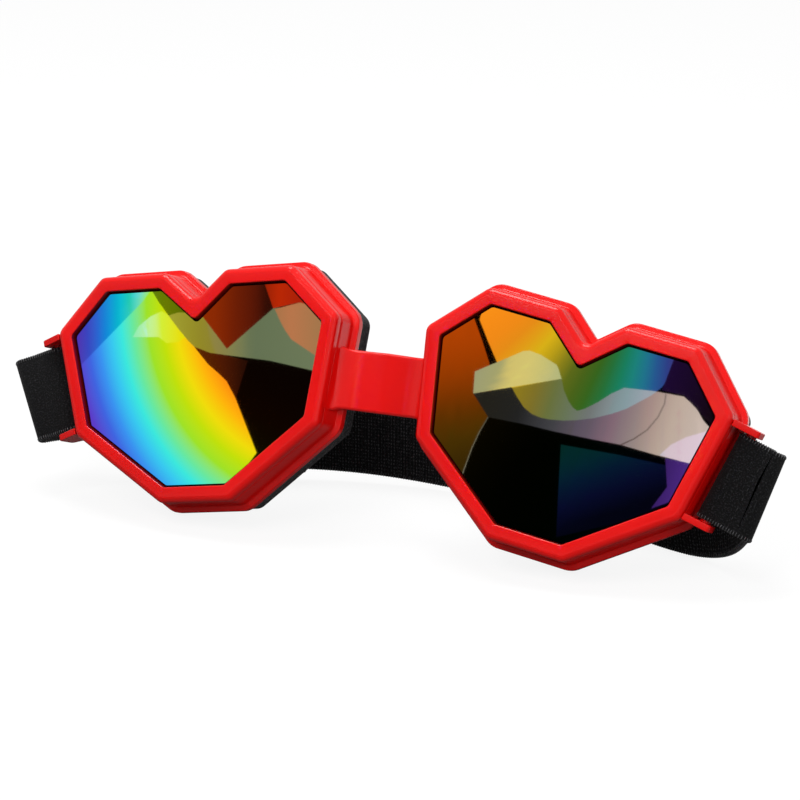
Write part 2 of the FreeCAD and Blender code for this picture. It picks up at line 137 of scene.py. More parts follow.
def new_material(name):
    """An empty material and its tree."""
    material = bpy.data.materials.new(name)
    material.use_nodes = True
    material.node_tree.nodes.clear()
    return material, material.node_tree


print("white is", paint("#ffffff")[:3])

# %% [markdown]
# The frame and bezels are glossy red plastic, injection moulded in a polished mould. Gloss could come
# from a clear coat, but moulded plastic is one layer, so it comes from a low roughness. To the eye that
# gives clean, soft edged highlights. A faint slow noise in the bump adds the slight waviness that moulded
# walls show in a reflection, and the colour varies a little, because thick corners look deeper than thin
# edges. The narrow wall beside the lens lies in shade, and an attribute of the bezel paints that shade
# there as a deeper, darker red.

# %% Red plastic
CLOUD, WAVE = 0.06, 0.14  # patches to the millimetre: one cloud in 17 mm and one wave in 7 mm
red_plastic, tree = new_material("glossy_red_moulded_plastic")
place = add(tree, "ShaderNodeTexCoord")
cloud = add(tree, "ShaderNodeTexNoise", {
    "Vector": place.outputs["Object"], "Scale": CLOUD / MM, "Detail": 2.0})
red = add(tree, "ShaderNodeValToRGB", {"Fac": cloud.outputs["Fac"]}, [(0.3, "#cb0907"), (0.7, "#d80a08")])
# Painted shade: this attribute turns the red to a dark red on the wall beside the lens, where shade falls.
lens_wall_shade = add(tree, "ShaderNodeAttribute", attribute_name="painted_lens_wall_shade")
deep = add(tree, "ShaderNodeMix", {
    0: lens_wall_shade.outputs["Fac"], 6: red, 7: paint("#3a0405")}, data_type="RGBA")
grain = add(tree, "ShaderNodeTexNoise", {
    "Vector": place.outputs["Object"], "Scale": WAVE / MM, "Detail": 1.0})
wavy = add(tree, "ShaderNodeBump", {"Height": grain.outputs["Fac"], "Strength": 0.03, "Distance": 0.4 * MM})
gloss = add(tree, "ShaderNodeBsdfPrincipled", {
    "Base Color": deep.outputs[2], "Roughness": 0.22, "Specular IOR Level": 0.28,
    "Normal": wavy})
add(tree, "ShaderNodeOutputMaterial", {"Surface": gloss})
print("made", red_plastic.name)

# %% [markdown]
# The outline of one eye is a heart of straight sides with small round corners. It could be a curve object
# with a bevel, but the rings of an eye (bezel, cup, foam) follow it at many offsets, and a bevelled curve
# pinches at the notch. So one function gives the corners moved in or out, and another rounds them.

# %% Heart outline
HEART = [(7.7, 30.0), (24.5, 30.0), (36.0, 17.8), (31.0, -6.5), (8.9, -22.8)]
NOTCH = (0.0, 23.4)
ARC_STEPS = 6


def unit(a, b):
    """The direction from one point to another, of length 1."""
    length = math.hypot(b[0] - a[0], b[1] - a[1])
    return ((b[0] - a[0]) / length, (b[1] - a[1]) / length)


def crossing(p, d, q, e):
    """Where the line through p along d meets the line through q along e."""
    across = d[0] * e[1] - d[1] * e[0]
    reach = ((q[0] - p[0]) * e[1] - (q[1] - p[1]) * e[0]) / across
    return (p[0] + d[0] * reach, p[1] + d[1] * reach)


def heart_corners(grow):
    """The eleven corners, clockwise from the notch, with every side moved out by grow."""
    corners = [NOTCH] + HEART + [(-x, z) for x, z in reversed(HEART)]
    sides = []
    for start, end in zip(corners, corners[1:] + corners[:1]):
        along = unit(start, end)
        sides.append(((start[0] - along[1] * grow, start[1] + along[0] * grow), along))
    return [crossing(*sides[i - 1], *sides[i]) for i in range(len(sides))]


def rounded(corners, radii, steps):
    """Points round a closed outline, each corner turned on its radius in a number of steps."""
    points = []
    for i, corner in enumerate(corners):
        before = unit(corners[i - 1], corner)
        after = unit(corner, corners[(i + 1) % len(corners)])
        if radii[i] == 0:
            points.append(corner)
            continue
        turn = math.acos(max(-1.0, min(1.0, before[0] * after[0] + before[1] * after[1])))
        inward = unit(before, after)
        rise = radii[i] / math.cos(turn / 2)
        centre = (corner[0] + inward[0] * rise, corner[1] + inward[1] * rise)
        arm = (-inward[0] * radii[i], -inward[1] * radii[i])
        sign = 1 if before[0] * after[1] - before[1] * after[0] > 0 else -1
        for k in range(steps + 1):
            angle = turn * (k / steps - 0.5)
            c, s = math.cos(angle), sign * math.sin(angle)
            points.append((centre[0] + arm[0] * c - arm[1] * s, centre[1] + arm[1] * c + arm[0] * s))
    return points


print("heart width", 2 * HEART[2][0], "mm")

# %% [markdown]
# The goggles lean back on their foam pads. Each heart is turned a little round the face and rolled
# outward, then the whole is leaned and set on the floor, exactly as in the CAD source. A place is a
# matrix, and it goes into the points of a piece, so that every finished object sits at the origin.

# %% Places
STAND, LEAN = (0.0, -17.1745, 29.2297), -21.7
EYE_HALF_SPACING, FACE_TURN, ROLL = 43.3, 3.5, 9.0


def turned(axis, degrees):
    return Matrix.Rotation(math.radians(degrees), 4, axis)


GOGGLES = Matrix.Translation(STAND) @ turned("X", LEAN)


def heart_place(side):
    """From a heart's own millimetres (x across, y back, z up) to the scene's."""
    spot = GOGGLES @ Matrix.Translation((side * EYE_HALF_SPACING, 0, 0))
    return spot @ turned("Z", side * FACE_TURN) @ turned("Y", side * ROLL)


def at(place, points):
    return [tuple(place @ Vector(p)) for p in points]


print("right heart stands at", [round(c, 1) for c in heart_place(RIGHT).translation])

# %% [markdown]
# Most pieces here are a row of rings with a skin over them: a ring swept round a heart closes on itself,
# and a strap or a bar has two ends. One function makes the faces for both, and another makes a mesh from
# them with outward normals and sharp creases. Modifiers could stay live, but the export wants plain
# meshes, so each one is applied as soon as it has done its work.

# %% Meshes
CREASE = 32.0


def skinned(rings, closed):
    """Points and faces through rings of equal size; an open row gets a face at each end."""
    size, last = len(rings[0]), len(rings) - 1
    faces = [] if closed else [tuple(range(size)), tuple(range(last * size, (last + 1) * size))]
    for i in range(len(rings) if closed else last):
        near, far = i * size, (i + 1) % len(rings) * size
        for k in range(size):
            ahead = (k + 1) % size
            faces.append((near + k, near + ahead, far + ahead, far + k))
    return [p for ring in rings for p in ring], faces


def new_piece(name, points, faces, material, crease=CREASE):
    """A mesh object from points in millimetres, with outward normals and creases kept sharp."""
    mesh = bpy.data.meshes.new(name)
    mesh.from_pydata([tuple(c * MM for c in p) for p in points], [], faces)
    skin = bmesh.new()
    skin.from_mesh(mesh)
    bmesh.ops.remove_doubles(skin, verts=skin.verts, dist=1e-7)
    bmesh.ops.recalc_face_normals(skin, faces=skin.faces)
    skin.to_mesh(mesh)
    skin.free()
    mesh.shade_smooth()
    mesh.set_sharp_from_angle(angle=math.radians(crease))
    mesh.materials.append(material)
    return linked(name, mesh)


def finished(piece):
    """Applies the modifiers that are left, as a plain mesh."""
    whole = piece.evaluated_get(bpy.context.evaluated_depsgraph_get())
    mesh = bpy.data.meshes.new_from_object(whole)
    piece.modifiers.clear()
    piece.data = mesh
    mesh.name = piece.name
    return piece


def evened(piece):
    """Flat faces stay flat in a reflection: corner normals lean to the larger face."""
    piece.modifiers.new("even", "WEIGHTED_NORMAL").keep_sharp = True
    return finished(piece)


def bevelled(piece, width, degrees):
    """Breaks the sharp edges with a small two-step bevel."""
    edge = piece.modifiers.new("edge", "BEVEL")
    edge.width, edge.segments, edge.angle_limit = width * MM, 2, math.radians(degrees)
    return finished(piece)


print("edges turn sharp past", CREASE, "degrees")

# %% [markdown]
# A ring that goes round an eye is a section swept along the heart. A section is drawn as (grow, depth)
# points: grow is the offset from the outline, depth the distance behind the bezel's front face. The
# heart's own corners have a larger radius outside than in the opening, so each point of a section also
# carries the two radii that the heart has there.

# %% Sweeping
LEAST_RADIUS = 0.9


def clamped(value):
    return min(1.0, max(0.0, value))


def corner_radii(grow, corner, notch, opening, fade, follow=1.0):
    """Corner and notch radius at an offset: they follow it outside and fade to those of the opening."""
    start, length = fade
    share = clamped((-grow - start) / length)
    outside = (max(LEAST_RADIUS, corner + grow * follow), notch - grow * follow)
    return tuple(o * (1 - share) + i * share for o, i in zip(outside, opening))


def ring_section(corners, rounds, steps, radii):
    """A closed section with rounded corners, each point with the heart's corner and notch radius."""
    return [(g, d) + corner_radii(g, **radii) for g, d in rounded(corners, rounds, steps)]


def heart_ring(grow, depth, corner, notch, side_steps):
    """One ring of the sweep, as points (x, depth, z) in the heart's own frame."""
    flat = rounded(heart_corners(grow), [notch] + [corner] * (2 * len(HEART)), ARC_STEPS)
    ring = []
    for i, (x, z) in enumerate(flat):
        ring.append((x, depth, z))
        if (i + 1) % (ARC_STEPS + 1) == 0:
            nx, nz = flat[(i + 1) % len(flat)]
            for k in range(1, side_steps):
                ring.append((x + (nx - x) * k / side_steps, depth, z + (nz - z) * k / side_steps))
    return ring


def swept_heart(section, side_steps=1):
    """Points and faces of a closed section taken round the heart."""
    return skinned([heart_ring(*level, side_steps) for level in section], True)


print("one ring has", len(heart_ring(0, 0, 1, 1, 1)), "points")

# %% [markdown]
# The bezel is the front ring that traps the lens. Its front face is flat with a generous round on the
# outside and a small one on the inside, then a slightly drafted wall goes down to the lens. Behind it a
# tongue seats in the cup. A bevel on a plain ring would give every edge the same round, so the section is
# drawn with its own rounds and swept round the heart.

# %% Bezels
BEZEL = [(0, 0), (0, 2.8), (-0.9, 2.8), (-0.9, 3.85), (-1.9, 3.85), (-1.9, 2.8), (-3.82, 2.8), (-3.5, 0)]
BEZEL_ROUNDS = [1.5, 0.2, 0.1, 0.15, 0.15, 0.1, 0.08, 0.3]
BEZEL_RADII = {"corner": 2.4, "notch": 2.0, "opening": (1.25, 1.2), "fade": (1.2, 1.6)}
# Painted shade: on the wall beside the lens the red darkens from SHADE_START behind the front face over
# SHADE_LENGTH.
LENS_WALL, SHADE_START, SHADE_LENGTH = -3.4, 0.1, 0.2
section = ring_section(BEZEL, BEZEL_ROUNDS, 4, BEZEL_RADII)
points, faces = swept_heart(section)
ring_size = len(points) // len(section)
for side, name in SIDES.items():
    bezel = new_piece(name + "_bezel_moulding", at(heart_place(side), points), faces, red_plastic)
    shade = bezel.data.attributes.new("painted_lens_wall_shade", "FLOAT", "POINT")
    for i in range(len(points)):
        grow, depth = section[i // ring_size][:2]
        shade.data[i].value = clamped((depth - SHADE_START) / SHADE_LENGTH) if grow < LENS_WALL else 0.0
    evened(bezel)
    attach(bezel, "goggles")
    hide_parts(name + "_bezel")
    print(bezel.name, len(bezel.data.polygons), "faces")

# %% [markdown]
# The frame is one moulding: two eyecups, the nose bridge and a lug with a strap bar on each outer side.
# Each of these is drawn as its own closed mesh, because simple bodies are easy to check, and they wait in
# a collection until a Boolean joins them. A cup is a swept section with a lip for the bezel, a wall, a
# flange for the foam and a ledge for the lens.

# %% Eyecups
CUP = [(-0.8, 3.1), (-0.15, 3.1), (0.02, 3.75), (0.45, 8.35), (1.75, 8.7), (1.75, 10.7), (-2.0, 10.7),
       (-2.0, 5.4), (-4.4, 5.4), (-4.4, 4.0), (-0.8, 4.0)]
CUP_ROUNDS = [0.1, 0.3, 0.3, 0.5, 0.3, 0.3, 0.2, 0.1, 0.1, 0.1, 0.05]
CUP_RADII = {"corner": 2.9, "notch": 2.35, "opening": (1.2, 1.2), "fade": (0.6, 0.4)}
mould_parts = bpy.data.collections.new("mould_parts")
bpy.context.scene.collection.children.link(mould_parts)


def mould_part(name, points, faces):
    """A red body that waits to be joined to the frame."""
    part = new_piece(name, points, faces, red_plastic)
    bpy.context.scene.collection.objects.unlink(part)
    mould_parts.objects.link(part)
    return part


cup_points, cup_faces = swept_heart(ring_section(CUP, CUP_ROUNDS, 3, CUP_RADII))
goggle_frame = new_piece("goggle_frame_moulding", at(heart_place(LEFT), cup_points), cup_faces, red_plastic)
mould_part("right_cup", at(heart_place(RIGHT), cup_points), cup_faces)
print("a cup has", len(cup_faces), "faces")

# %% [markdown]
# The nose bridge is a strap of plastic between the cups, a little bent in the middle. At each end it
# swells and its front comes forward in a quarter of an ellipse, so that it flows into the cup wall as a
# moulded part does. A bent and swelling bar is hard to make with modifiers, so rounded rectangles along
# its length are skinned.

# %% Nose bridge
BRIDGE_WALL, BRIDGE_SWELL, SWELL_SHARE = 10.4, 2.6, 0.25
BRIDGE_END, ROOT_WALL, ROOT_LONG, ROOT_DEEP = 12.05, 11.5, 6.5, 3.5
BRIDGE_FRONT, BRIDGE_BACK, BRIDGE_TOP, BRIDGE_BOTTOM = 5.1, 8.0, 16.6, 2.9
BRIDGE_BEND, BRIDGE_DROP = 3.5, 0.25
BRIDGE_ROUNDS = [0.7, 0.5, 0.5, 0.7]
STATION = 0.35


def bridge_section(x):
    """The outline of the bridge at a distance from the middle, as points (x, y, z) on the goggles."""
    out = abs(x)
    reach = min(max(0.0, out - (BRIDGE_WALL - BRIDGE_SWELL)), BRIDGE_SWELL)
    swell = SWELL_SHARE * (BRIDGE_SWELL - math.sqrt(BRIDGE_SWELL ** 2 - reach ** 2))
    lead = clamped((out - (ROOT_WALL - ROOT_LONG)) / ROOT_LONG)
    root = ROOT_DEEP * (1 - math.sqrt(1 - lead ** 2)) if out <= ROOT_WALL else ROOT_DEEP / 2
    front = BRIDGE_FRONT - out * math.tan(math.radians(BRIDGE_BEND)) - root
    top = BRIDGE_TOP - BRIDGE_DROP * out / BRIDGE_WALL + swell
    bottom = BRIDGE_BOTTOM - swell
    corners = [(front, bottom), (BRIDGE_BACK, bottom), (BRIDGE_BACK, top), (front, top)]
    return [(x, y, z) for y, z in rounded(corners, BRIDGE_ROUNDS, 4)]


half = [-BRIDGE_END] + [-ROOT_WALL + STATION * i for i in range(20)] + [-4.0, -2.5, -1.0]
stations = half + [0.0] + [-x for x in reversed(half)]
points, faces = skinned([bridge_section(x) for x in stations], False)
mould_part("nose_bridge", at(GOGGLES, points), faces)
print("bridge has", len(stations), "cross-sections")

# %% [markdown]
# Each lug is two flat ears with a round bar between them, on the outer side of the cup. The ears start
# beside the bezel and run back to the flange. They are flat outlines given a thickness, and a small bevel
# breaks their edges so that they catch the light. The bar is the same with a circle for its outline.

# %% Strap lugs
EAR = [(0.15, 0.7), (6.1, 3.5), (6.1, 9.5), (-0.6, 10.7), (-0.6, 3.6), (0.15, 3.6)]
EAR_ROUNDS = [0.2, 1.1, 1.1, 0, 0, 0]
EAR_LEVELS = {"upper": (10.6, 12.1), "lower": (-12.1, -10.6)}
EAR_BEVEL, EAR_CREASE = 0.22, 40.0
BAR_REACH, BAR_DEPTH, BAR_RADIUS, BAR_HALF, BAR_SIDES = 3.9, 7.0, 1.2, 11.3, 28


def lug_place(side):
    """X runs out from the heart's outer side, Y goes back and Z runs up along that side."""
    upper, lower = Vector(HEART[2]), Vector(HEART[3])
    along = (upper - lower).normalized()
    middle = (upper + lower) / 2
    tilt = math.degrees(math.atan2(along[0], along[1]))
    place = heart_place(side) @ Matrix.Translation((side * middle[0], 0, middle[1]))
    return place @ turned("Y", side * tilt) @ Matrix.Diagonal((side, 1, 1, 1))


def lug_part(name, side, outline, low, high):
    """A flat outline given a thickness along the lug, from low to high."""
    points, faces = skinned([[(x, y, level) for x, y in outline] for level in (low, high)], False)
    return mould_part(SIDES[side] + name, at(lug_place(side), points), faces)


turns = [math.tau * i / BAR_SIDES for i in range(BAR_SIDES)]
circle = [(BAR_REACH + BAR_RADIUS * math.cos(a), BAR_DEPTH + BAR_RADIUS * math.sin(a)) for a in turns]
for side in SIDES:
    for level, (low, high) in EAR_LEVELS.items():
        ear = lug_part("_" + level + "_ear", side, rounded(EAR, EAR_ROUNDS, 6), low, high)
        bevelled(ear, EAR_BEVEL, EAR_CREASE)
    lug_part("_bar", side, circle, -BAR_HALF, BAR_HALF)

# %% [markdown]
# A moulding has no seams where its bodies meet. They could be left overlapping, but then hidden walls
# would stay inside the plastic. A Boolean union with the exact solver joins them into one closed skin,
# after which the bodies aren't needed any more.

# %% Join the mould
join = goggle_frame.modifiers.new("join", "BOOLEAN")
join.operation, join.operand_type, join.solver = "UNION", "COLLECTION", "EXACT"
join.collection = mould_parts
finished(goggle_frame)
for part in list(mould_parts.objects):
    bpy.data.objects.remove(part)
bpy.data.collections.remove(mould_parts)
goggle_frame.data.shade_smooth()
goggle_frame.data.set_sharp_from_angle(angle=math.radians(CREASE))
evened(goggle_frame)
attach(goggle_frame, "goggles")
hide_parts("goggle_frame")
print(goggle_frame.name, len(goggle_frame.data.polygons), "faces")

# %% [markdown]
# The lenses are flat sheets with a rainbow mirror coat, a stack of very thin films whose thickness
# changes across the sheet. To the eye that gives a clean mirror whose colour runs softly through the
# rainbow. Thin film could be worked out from physics, but its bands are hard to steer, so the coat is a
# polished metal whose colour is a ramp in the lens's own millimetres. On the left lens the ramp follows
# the distance from a point beside it, so the colours lie in arcs. On the right lens it follows the angle
# round a point above it, so they lie like a fan.

# %% Rainbow coats
ARCS = {"spot": (35.5, 24.0), "from": 70.0, "to": 6.0, "stops": [
    (0.03, "#5c3cc8"), (0.085, "#4064e0"), (0.13, "#3a92f0"), (0.183, "#38c8f0"), (0.228, "#3ce8dc"),
    (0.273, "#68e8a0"), (0.333, "#9ee228"), (0.39, "#c0e00c"), (0.447, "#f0dc0c"), (0.51, "#ffb40c"),
    (0.567, "#ff8a10"), (0.66, "#e07838"), (0.8, "#c87858"), (1.0, "#b87868")]}
FAN = {"spot": (10.0, 61.0), "from": math.radians(-50), "to": math.radians(28), "stops": [
    (0.06, "#fc9218"), (0.135, "#f68c18"), (0.18, "#f08a18"), (0.224, "#e68c18"), (0.269, "#e09e18"),
    (0.314, "#d8b018"), (0.359, "#b89c18"), (0.405, "#8a801a"), (0.45, "#5c681a"), (0.495, "#48621a"),
    (0.54, "#36641e"), (0.585, "#266f38"), (0.63, "#1a7c5a"), (0.674, "#1c8078"), (0.719, "#20728a"),
    (0.764, "#26568e"), (0.81, "#2e3e84"), (0.859, "#403478"), (0.923, "#5a4488"), (1.0, "#4c3a6c")]}
COATS = {LEFT: ARCS, RIGHT: FAN}
LENS_DEPTH, COAT_SKIN = 1.4, 0.04


def lens_material(side):
    """Polished metal coloured by the ramp of that side's coat, with its edges painted near black as shade
    round the lens.
    """
    coat = COATS[side]
    material, tree = new_material("rainbow_mirror_coat_" + SIDES[side])
    place = add(tree, "ShaderNodeTexCoord")
    inverse = heart_place(side).inverted()
    shift = inverse.translation - Vector((coat["spot"][0], 0, coat["spot"][1]))
    local = add(tree, "ShaderNodeMapping", {
        "Vector": place.outputs["Object"], "Location": shift, "Rotation": inverse.to_euler(),
        "Scale": (1 / MM, 1 / MM, 1 / MM)})
    parts = add(tree, "ShaderNodeSeparateXYZ", {"Vector": local})
    if coat is ARCS:
        flat = add(tree, "ShaderNodeCombineXYZ", {"X": parts.outputs["X"], "Z": parts.outputs["Z"]})
        measure = add(tree, "ShaderNodeVectorMath", {0: flat}, operation="LENGTH")
    else:
        down = add(tree, "ShaderNodeMath", {0: parts.outputs["Z"], 1: -1.0}, operation="MULTIPLY")
        measure = add(tree, "ShaderNodeMath", {0: parts.outputs["X"], 1: down}, operation="ARCTAN2")
    share = add(tree, "ShaderNodeMapRange", {
        "Value": measure.outputs["Value"], "From Min": coat["from"], "From Max": coat["to"]})
    colour = add(tree, "ShaderNodeValToRGB", {"Fac": share}, coat["stops"])
    # Painted shade: behind the coated front face the lens is painted near black, for the shade at its edge
    # beside the bezel.
    edge = add(tree, "ShaderNodeMath", {
        0: parts.outputs["Y"], 1: LENS_DEPTH + COAT_SKIN}, operation="GREATER_THAN")
    seen = add(tree, "ShaderNodeMix", {0: edge, 6: colour, 7: paint("#0a0506")}, data_type="RGBA")
    film = add(tree, "ShaderNodeBsdfPrincipled", {
        "Base Color": seen.outputs[2], "Metallic": 1.0, "Roughness": 0.012})
    add(tree, "ShaderNodeOutputMaterial", {"Surface": film})
    return material


for side, name in SIDES.items():
    lens = frame["nodes"][name + "_lens"]
    lens.data.materials.clear()
    lens.data.materials.append(lens_material(side))
    print(lens.name, "gets", lens.data.materials[0].name)

# %% [markdown]
# A mirror mostly shows what stands in front of it, so a bare mirror in an empty scene looks flat. A few
# studio cards stand where the camera sees them in the lenses: large windows and pale bands over a dark
# room. Each card is an outline drawn in the lens's millimetres and thrown back along the reflected line
# of sight, so it lands where it was drawn. The tone of a card is divided by the coat's own colour, as a
# set builder does when choosing a gel, so that the lens shows the tone that was meant.

# %% Studio cards
CARD_FAR, CARD_STEP = 0.6, 0.004
LEAST_COAT, MOST_GLOW = 0.01, 20.0
card_paint, tree = new_material("glowing_studio_card")
tone = add(tree, "ShaderNodeVertexColor", layer_name="glow")
lit = add(tree, "ShaderNodeEmission", {"Color": tone, "Strength": 1.0})
add(tree, "ShaderNodeOutputMaterial", {"Surface": lit})
cards = []


def mixed(stops, position):
    """The linear colour of (position, hex) stops at a position."""
    for (a, low), (b, high) in zip(stops, stops[1:]):
        if position <= b:
            share = clamped((position - a) / (b - a))
            return [p * (1 - share) + q * share for p, q in zip(paint(low), paint(high))]
    return list(paint(stops[-1][1]))


def coat_colour(side, x, z):
    """The linear colour of a lens's coat at a point on it."""
    coat = COATS[side]
    across, up = x - coat["spot"][0], z - coat["spot"][1]
    measure = math.hypot(across, up) if coat is ARCS else math.atan2(across, -up)
    return mixed(coat["stops"], (measure - coat["from"]) / (coat["to"] - coat["from"]))


def card(side, outline, tones, along=(1.0, 0.0)):
    """One card; tones is a plain brightness, or the hex colours that the lens shows along a direction."""
    sheet = bmesh.new()
    sheet.faces.new([sheet.verts.new((x, 0, z)) for x, z in outline])
    bmesh.ops.triangulate(sheet, faces=sheet.faces, quad_method="BEAUTY", ngon_method="EAR_CLIP")
    bmesh.ops.subdivide_edges(sheet, edges=sheet.edges, cuts=5, use_grid_fill=True)
    mesh = bpy.data.meshes.new(SIDES[side] + "_card_" + str(len(cards)))
    sheet.to_mesh(mesh)
    sheet.free()
    glow = mesh.color_attributes.new("glow", "FLOAT_COLOR", "POINT")
    place = heart_place(side)
    facing = place.to_3x3() @ Vector((0, -1, 0))
    for vertex in mesh.vertices:
        x, z = vertex.co.x, vertex.co.z
        if isinstance(tones, (int, float)):
            light = [tones] * 3
        else:
            shown, film = mixed(tones, x * along[0] + z * along[1]), coat_colour(side, x, z)
            light = [min(MOST_GLOW, s / max(f, LEAST_COAT)) for s, f in zip(shown[:3], film)]
        glow.data[vertex.index].color = light + [1.0]
        spot = (place @ Vector((x, LENS_DEPTH, z))) * MM
        sight = (spot - CAMERA_SPOT).normalized()
        bounce = sight - facing * (2 * sight.dot(facing))
        vertex.co = spot + bounce * (CARD_FAR - CARD_STEP * len(cards))
    mesh.materials.append(card_paint)
    panel = linked(mesh.name, mesh)
    panel.visible_camera = panel.visible_diffuse = panel.visible_shadow = panel.visible_transmission = False
    cards.append(panel)


def stripe(line, across):
    """A thin band between a line and the same line moved across by (x, z)."""
    return line + [(x + across[0], z + across[1]) for x, z in reversed(line)]


print("a card stands", CARD_FAR, "m off the lens at most")

# %% [markdown]
# The dark room comes first: for each lens a wide dim card that keeps the floor and the sky out of the
# mirror, and a darker one with the lens's own outline. Both are plain flat tones, because nothing in them
# should catch the eye. Every card after that stands a little nearer, so it covers the ones before it.

# %% Dark room
ROOM = {LEFT: [(-84, -34), (84, -34), (84, 36), (-84, 36)],
        RIGHT: [(-84, -34), (84, -34), (84, 17), (36, 17), (24, 22), (-30, 22), (-84, 20)]}
ROOM_GLOW, LENS_GLOW, LENS_MARGIN = 0.012, 0.004, 1.05
LENS_ROOM = [(x * LENS_MARGIN, z * LENS_MARGIN) for x, z in heart_corners(LENS_WALL)]
for side in SIDES:
    card(side, ROOM[side], ROOM_GLOW)
    card(side, LENS_ROOM, LENS_GLOW)
print("dark cards:", len(cards))

# %% [markdown]
# The left lens shows a bright window with a long wavy edge. Over it lie a bluish corner, patches of olive
# and brown beside the notch, and red and salmon patches at the top right. An image of a studio could be
# mirrored instead, but plain cards can be moved one by one. A window shows the coat at its full colour,
# so its tone is a plain 1. The patches are given the colours that the lens is to show from left to right.

# %% Cards of the left lens
WINDOW = 1.0
LEFT_WINDOW = [(-12.0, 26.7), (-9.9, 23.5), (-7.3, 20.2), (-4.7, 17.0), (-2.1, 14.1), (0.5, 11.2), (3.0, 8.5),
               (5.6, 6.4), (7.8, 4.4), (9.4, 2.0), (10.5, -0.9), (11.4, -4.1), (12.4, -7.3), (13.8, -9.8),
               (15.5, -12.1)]
card(LEFT, LEFT_WINDOW + [(8, -21), (-8, -21), (-36, -4), (-36, 30), (-13.5, 30)], WINDOW)
BLUE_CORNER = [(-36, 5.0), (-33.2, 7.3), (-28.5, 11.7), (-14.0, 23.9), (-11.2, 27.4), (-12, 31), (-36, 31)]
card(LEFT, BLUE_CORNER, [
    (-31, "#4e34b0"), (-27, "#3456c8"), (-23.5, "#0f88d8"), (-20.3, "#08b6cc"), (-17.5, "#22cab0"),
    (-13, "#94e688")])
OLIVE_TOP = [(-13.0, 30), (-12.0, 26.7), (-9.9, 23.5), (-7.3, 20.2), (-4.7, 20.8), (0.9, 20.3), (-2, 25),
             (-9, 30)]
card(LEFT, OLIVE_TOP, [(-12, "#5c800f"), (-8, "#687808"), (-3, "#586808")])
LIME_TIP = [(-16.6, 15.7), (-15.0, 18.2), (-11.9, 20.3), (-9.1, 21.3), (-7.3, 20.3), (-4.7, 17.0),
            (-2.9, 15.0), (-4.7, 14.0), (-7.8, 13.9), (-9.8, 15.4)]
card(LEFT, LIME_TIP, [(-16, "#94ecb4"), (-12, "#c3f294"), (-9, "#d4ee58"), (-4, "#e8de18")])
SAGE_BAND = [(-7.3, 20.2), (-4.7, 20.8), (0.9, 20.3), (7.8, 11.8), (19.5, 20.4), (32, 21), (32, 5.2),
             (18.6, 8.6), (7.5, 10.4), (3.5, 11.1), (-0.6, 12.7), (-2.1, 14.1), (-4.7, 17.0)]
card(LEFT, SAGE_BAND, [
    (-7, "#a09e54"), (1, "#92883f"), (5.5, "#8c8144"), (10.5, "#7c7e50"), (14, "#647152"), (31, "#6c7858")])
SALMON_END = [(19.9, 20.2), (26.9, 21.5), (32.4, 18.8), (31.6, 8.2), (30.2, 9.1), (27.0, 11.2), (24.0, 13.2),
              (22.3, 15.6), (21.0, 17.9)]
card(LEFT, SALMON_END, [(20, "#a8744a"), (24, "#b8764c"), (31, "#a4764c")])
BROWN_PEAK = [(0.9, 20.3), (7.8, 11.8), (19.5, 20.4), (17.0, 26.7), (8.5, 27.2)]
card(LEFT, BROWN_PEAK, [(4, "#8c2a04"), (10, "#6c1e06"), (15, "#541607"), (18, "#2c0c05")])
RED_PEAK = [(17.0, 26.9), (19.5, 20.4), (26.0, 21.4), (31, 20), (23.0, 28)]
card(LEFT, RED_PEAK, [(17, "#902006"), (21, "#b92806"), (28, "#a01c0a")])
BROWN_WEDGE = [(-0.6, 12.7), (3.5, 11.1), (7.5, 10.4), (13.1, 8.8), (11.1, 3.1), (10.1, 0.4), (9.4, 2.0),
               (7.8, 4.4), (5.6, 6.4), (3.0, 8.5)]
card(LEFT, BROWN_WEDGE, [(-1, "#5a2608"), (6, "#4e1a05"), (12, "#280d04")])
print("cards so far:", len(cards))

# %% [markdown]
# The right lens shows a window as well, and a long pale band across the middle. Where they overlap, the
# band is tinted by the window. An amber side, a teal pane and two violet patches lie round them, and two
# fine lines follow a seam in the band and the edge of the amber side. The amber side and the teal pane
# change tone along a slant, which their last value gives.

# %% Cards of the right lens
AMBER_SIDE = [(-36, 29), (-26.8, 23.4), (-22.8, 18.2), (-20.0, 14.3), (-18.2, 11.0), (-16.8, 6.7),
              (-16.6, 2.7), (-17.5, -1.0), (-18.1, -4.8), (-18.5, -11.9), (-24, -14), (-36, -5)]
card(RIGHT, AMBER_SIDE, [
    (0, "#342405"), (8, "#483004"), (14, "#602f02"), (24, "#983b02"), (33, "#b04204")], (-0.5, 1.0))
SILL_OVERLAP = 0.6
WINDOW_TOP = [(-24.8, 22.5), (-21.6, 18.6), (-18.3, 14.8), (-14.9, 11.5)]
SILL = [(-11.6, 8.7), (-9.4, 6.9), (-7.2, 6.0), (-5.0, 5.8), (-3.0, 6.0), (-0.1, 6.6), (2.7, 7.5), (6.3, 9.0),
        (9.8, 11.0), (12.7, 13.0), (14.8, 15.1), (17.0, 17.2)]
card(RIGHT, WINDOW_TOP + SILL + [(18.8, 19.6), (19.7, 22.2), (19.8, 25.2), (19.8, 30), (-24.8, 30)], WINDOW)
TONGUE = [(-3.1, 15.2), (-1.9, 13.0), (-0.2, 11.0), (1.2, 9.9), (2.3, 9.5), (3.8, 10.4), (6.2, 12.6),
          (8.5, 15.2), (10.9, 17.2)]
PALE_BAND = [(-21.3, 6.6), (-13.2, 10.3)] + [(x, z + SILL_OVERLAP) for x, z in SILL] + [
    (17.2, 18.3), (24.0, 19.0), (27.2, 17.5), (29.7, 15.2), (33, 13.2), (33, 5.9), (21.7, 5.3), (13.6, 5.2),
    (6.7, 4.5), (-1.3, 3.8), (-8.4, 3.4), (-16.5, 2.6)]
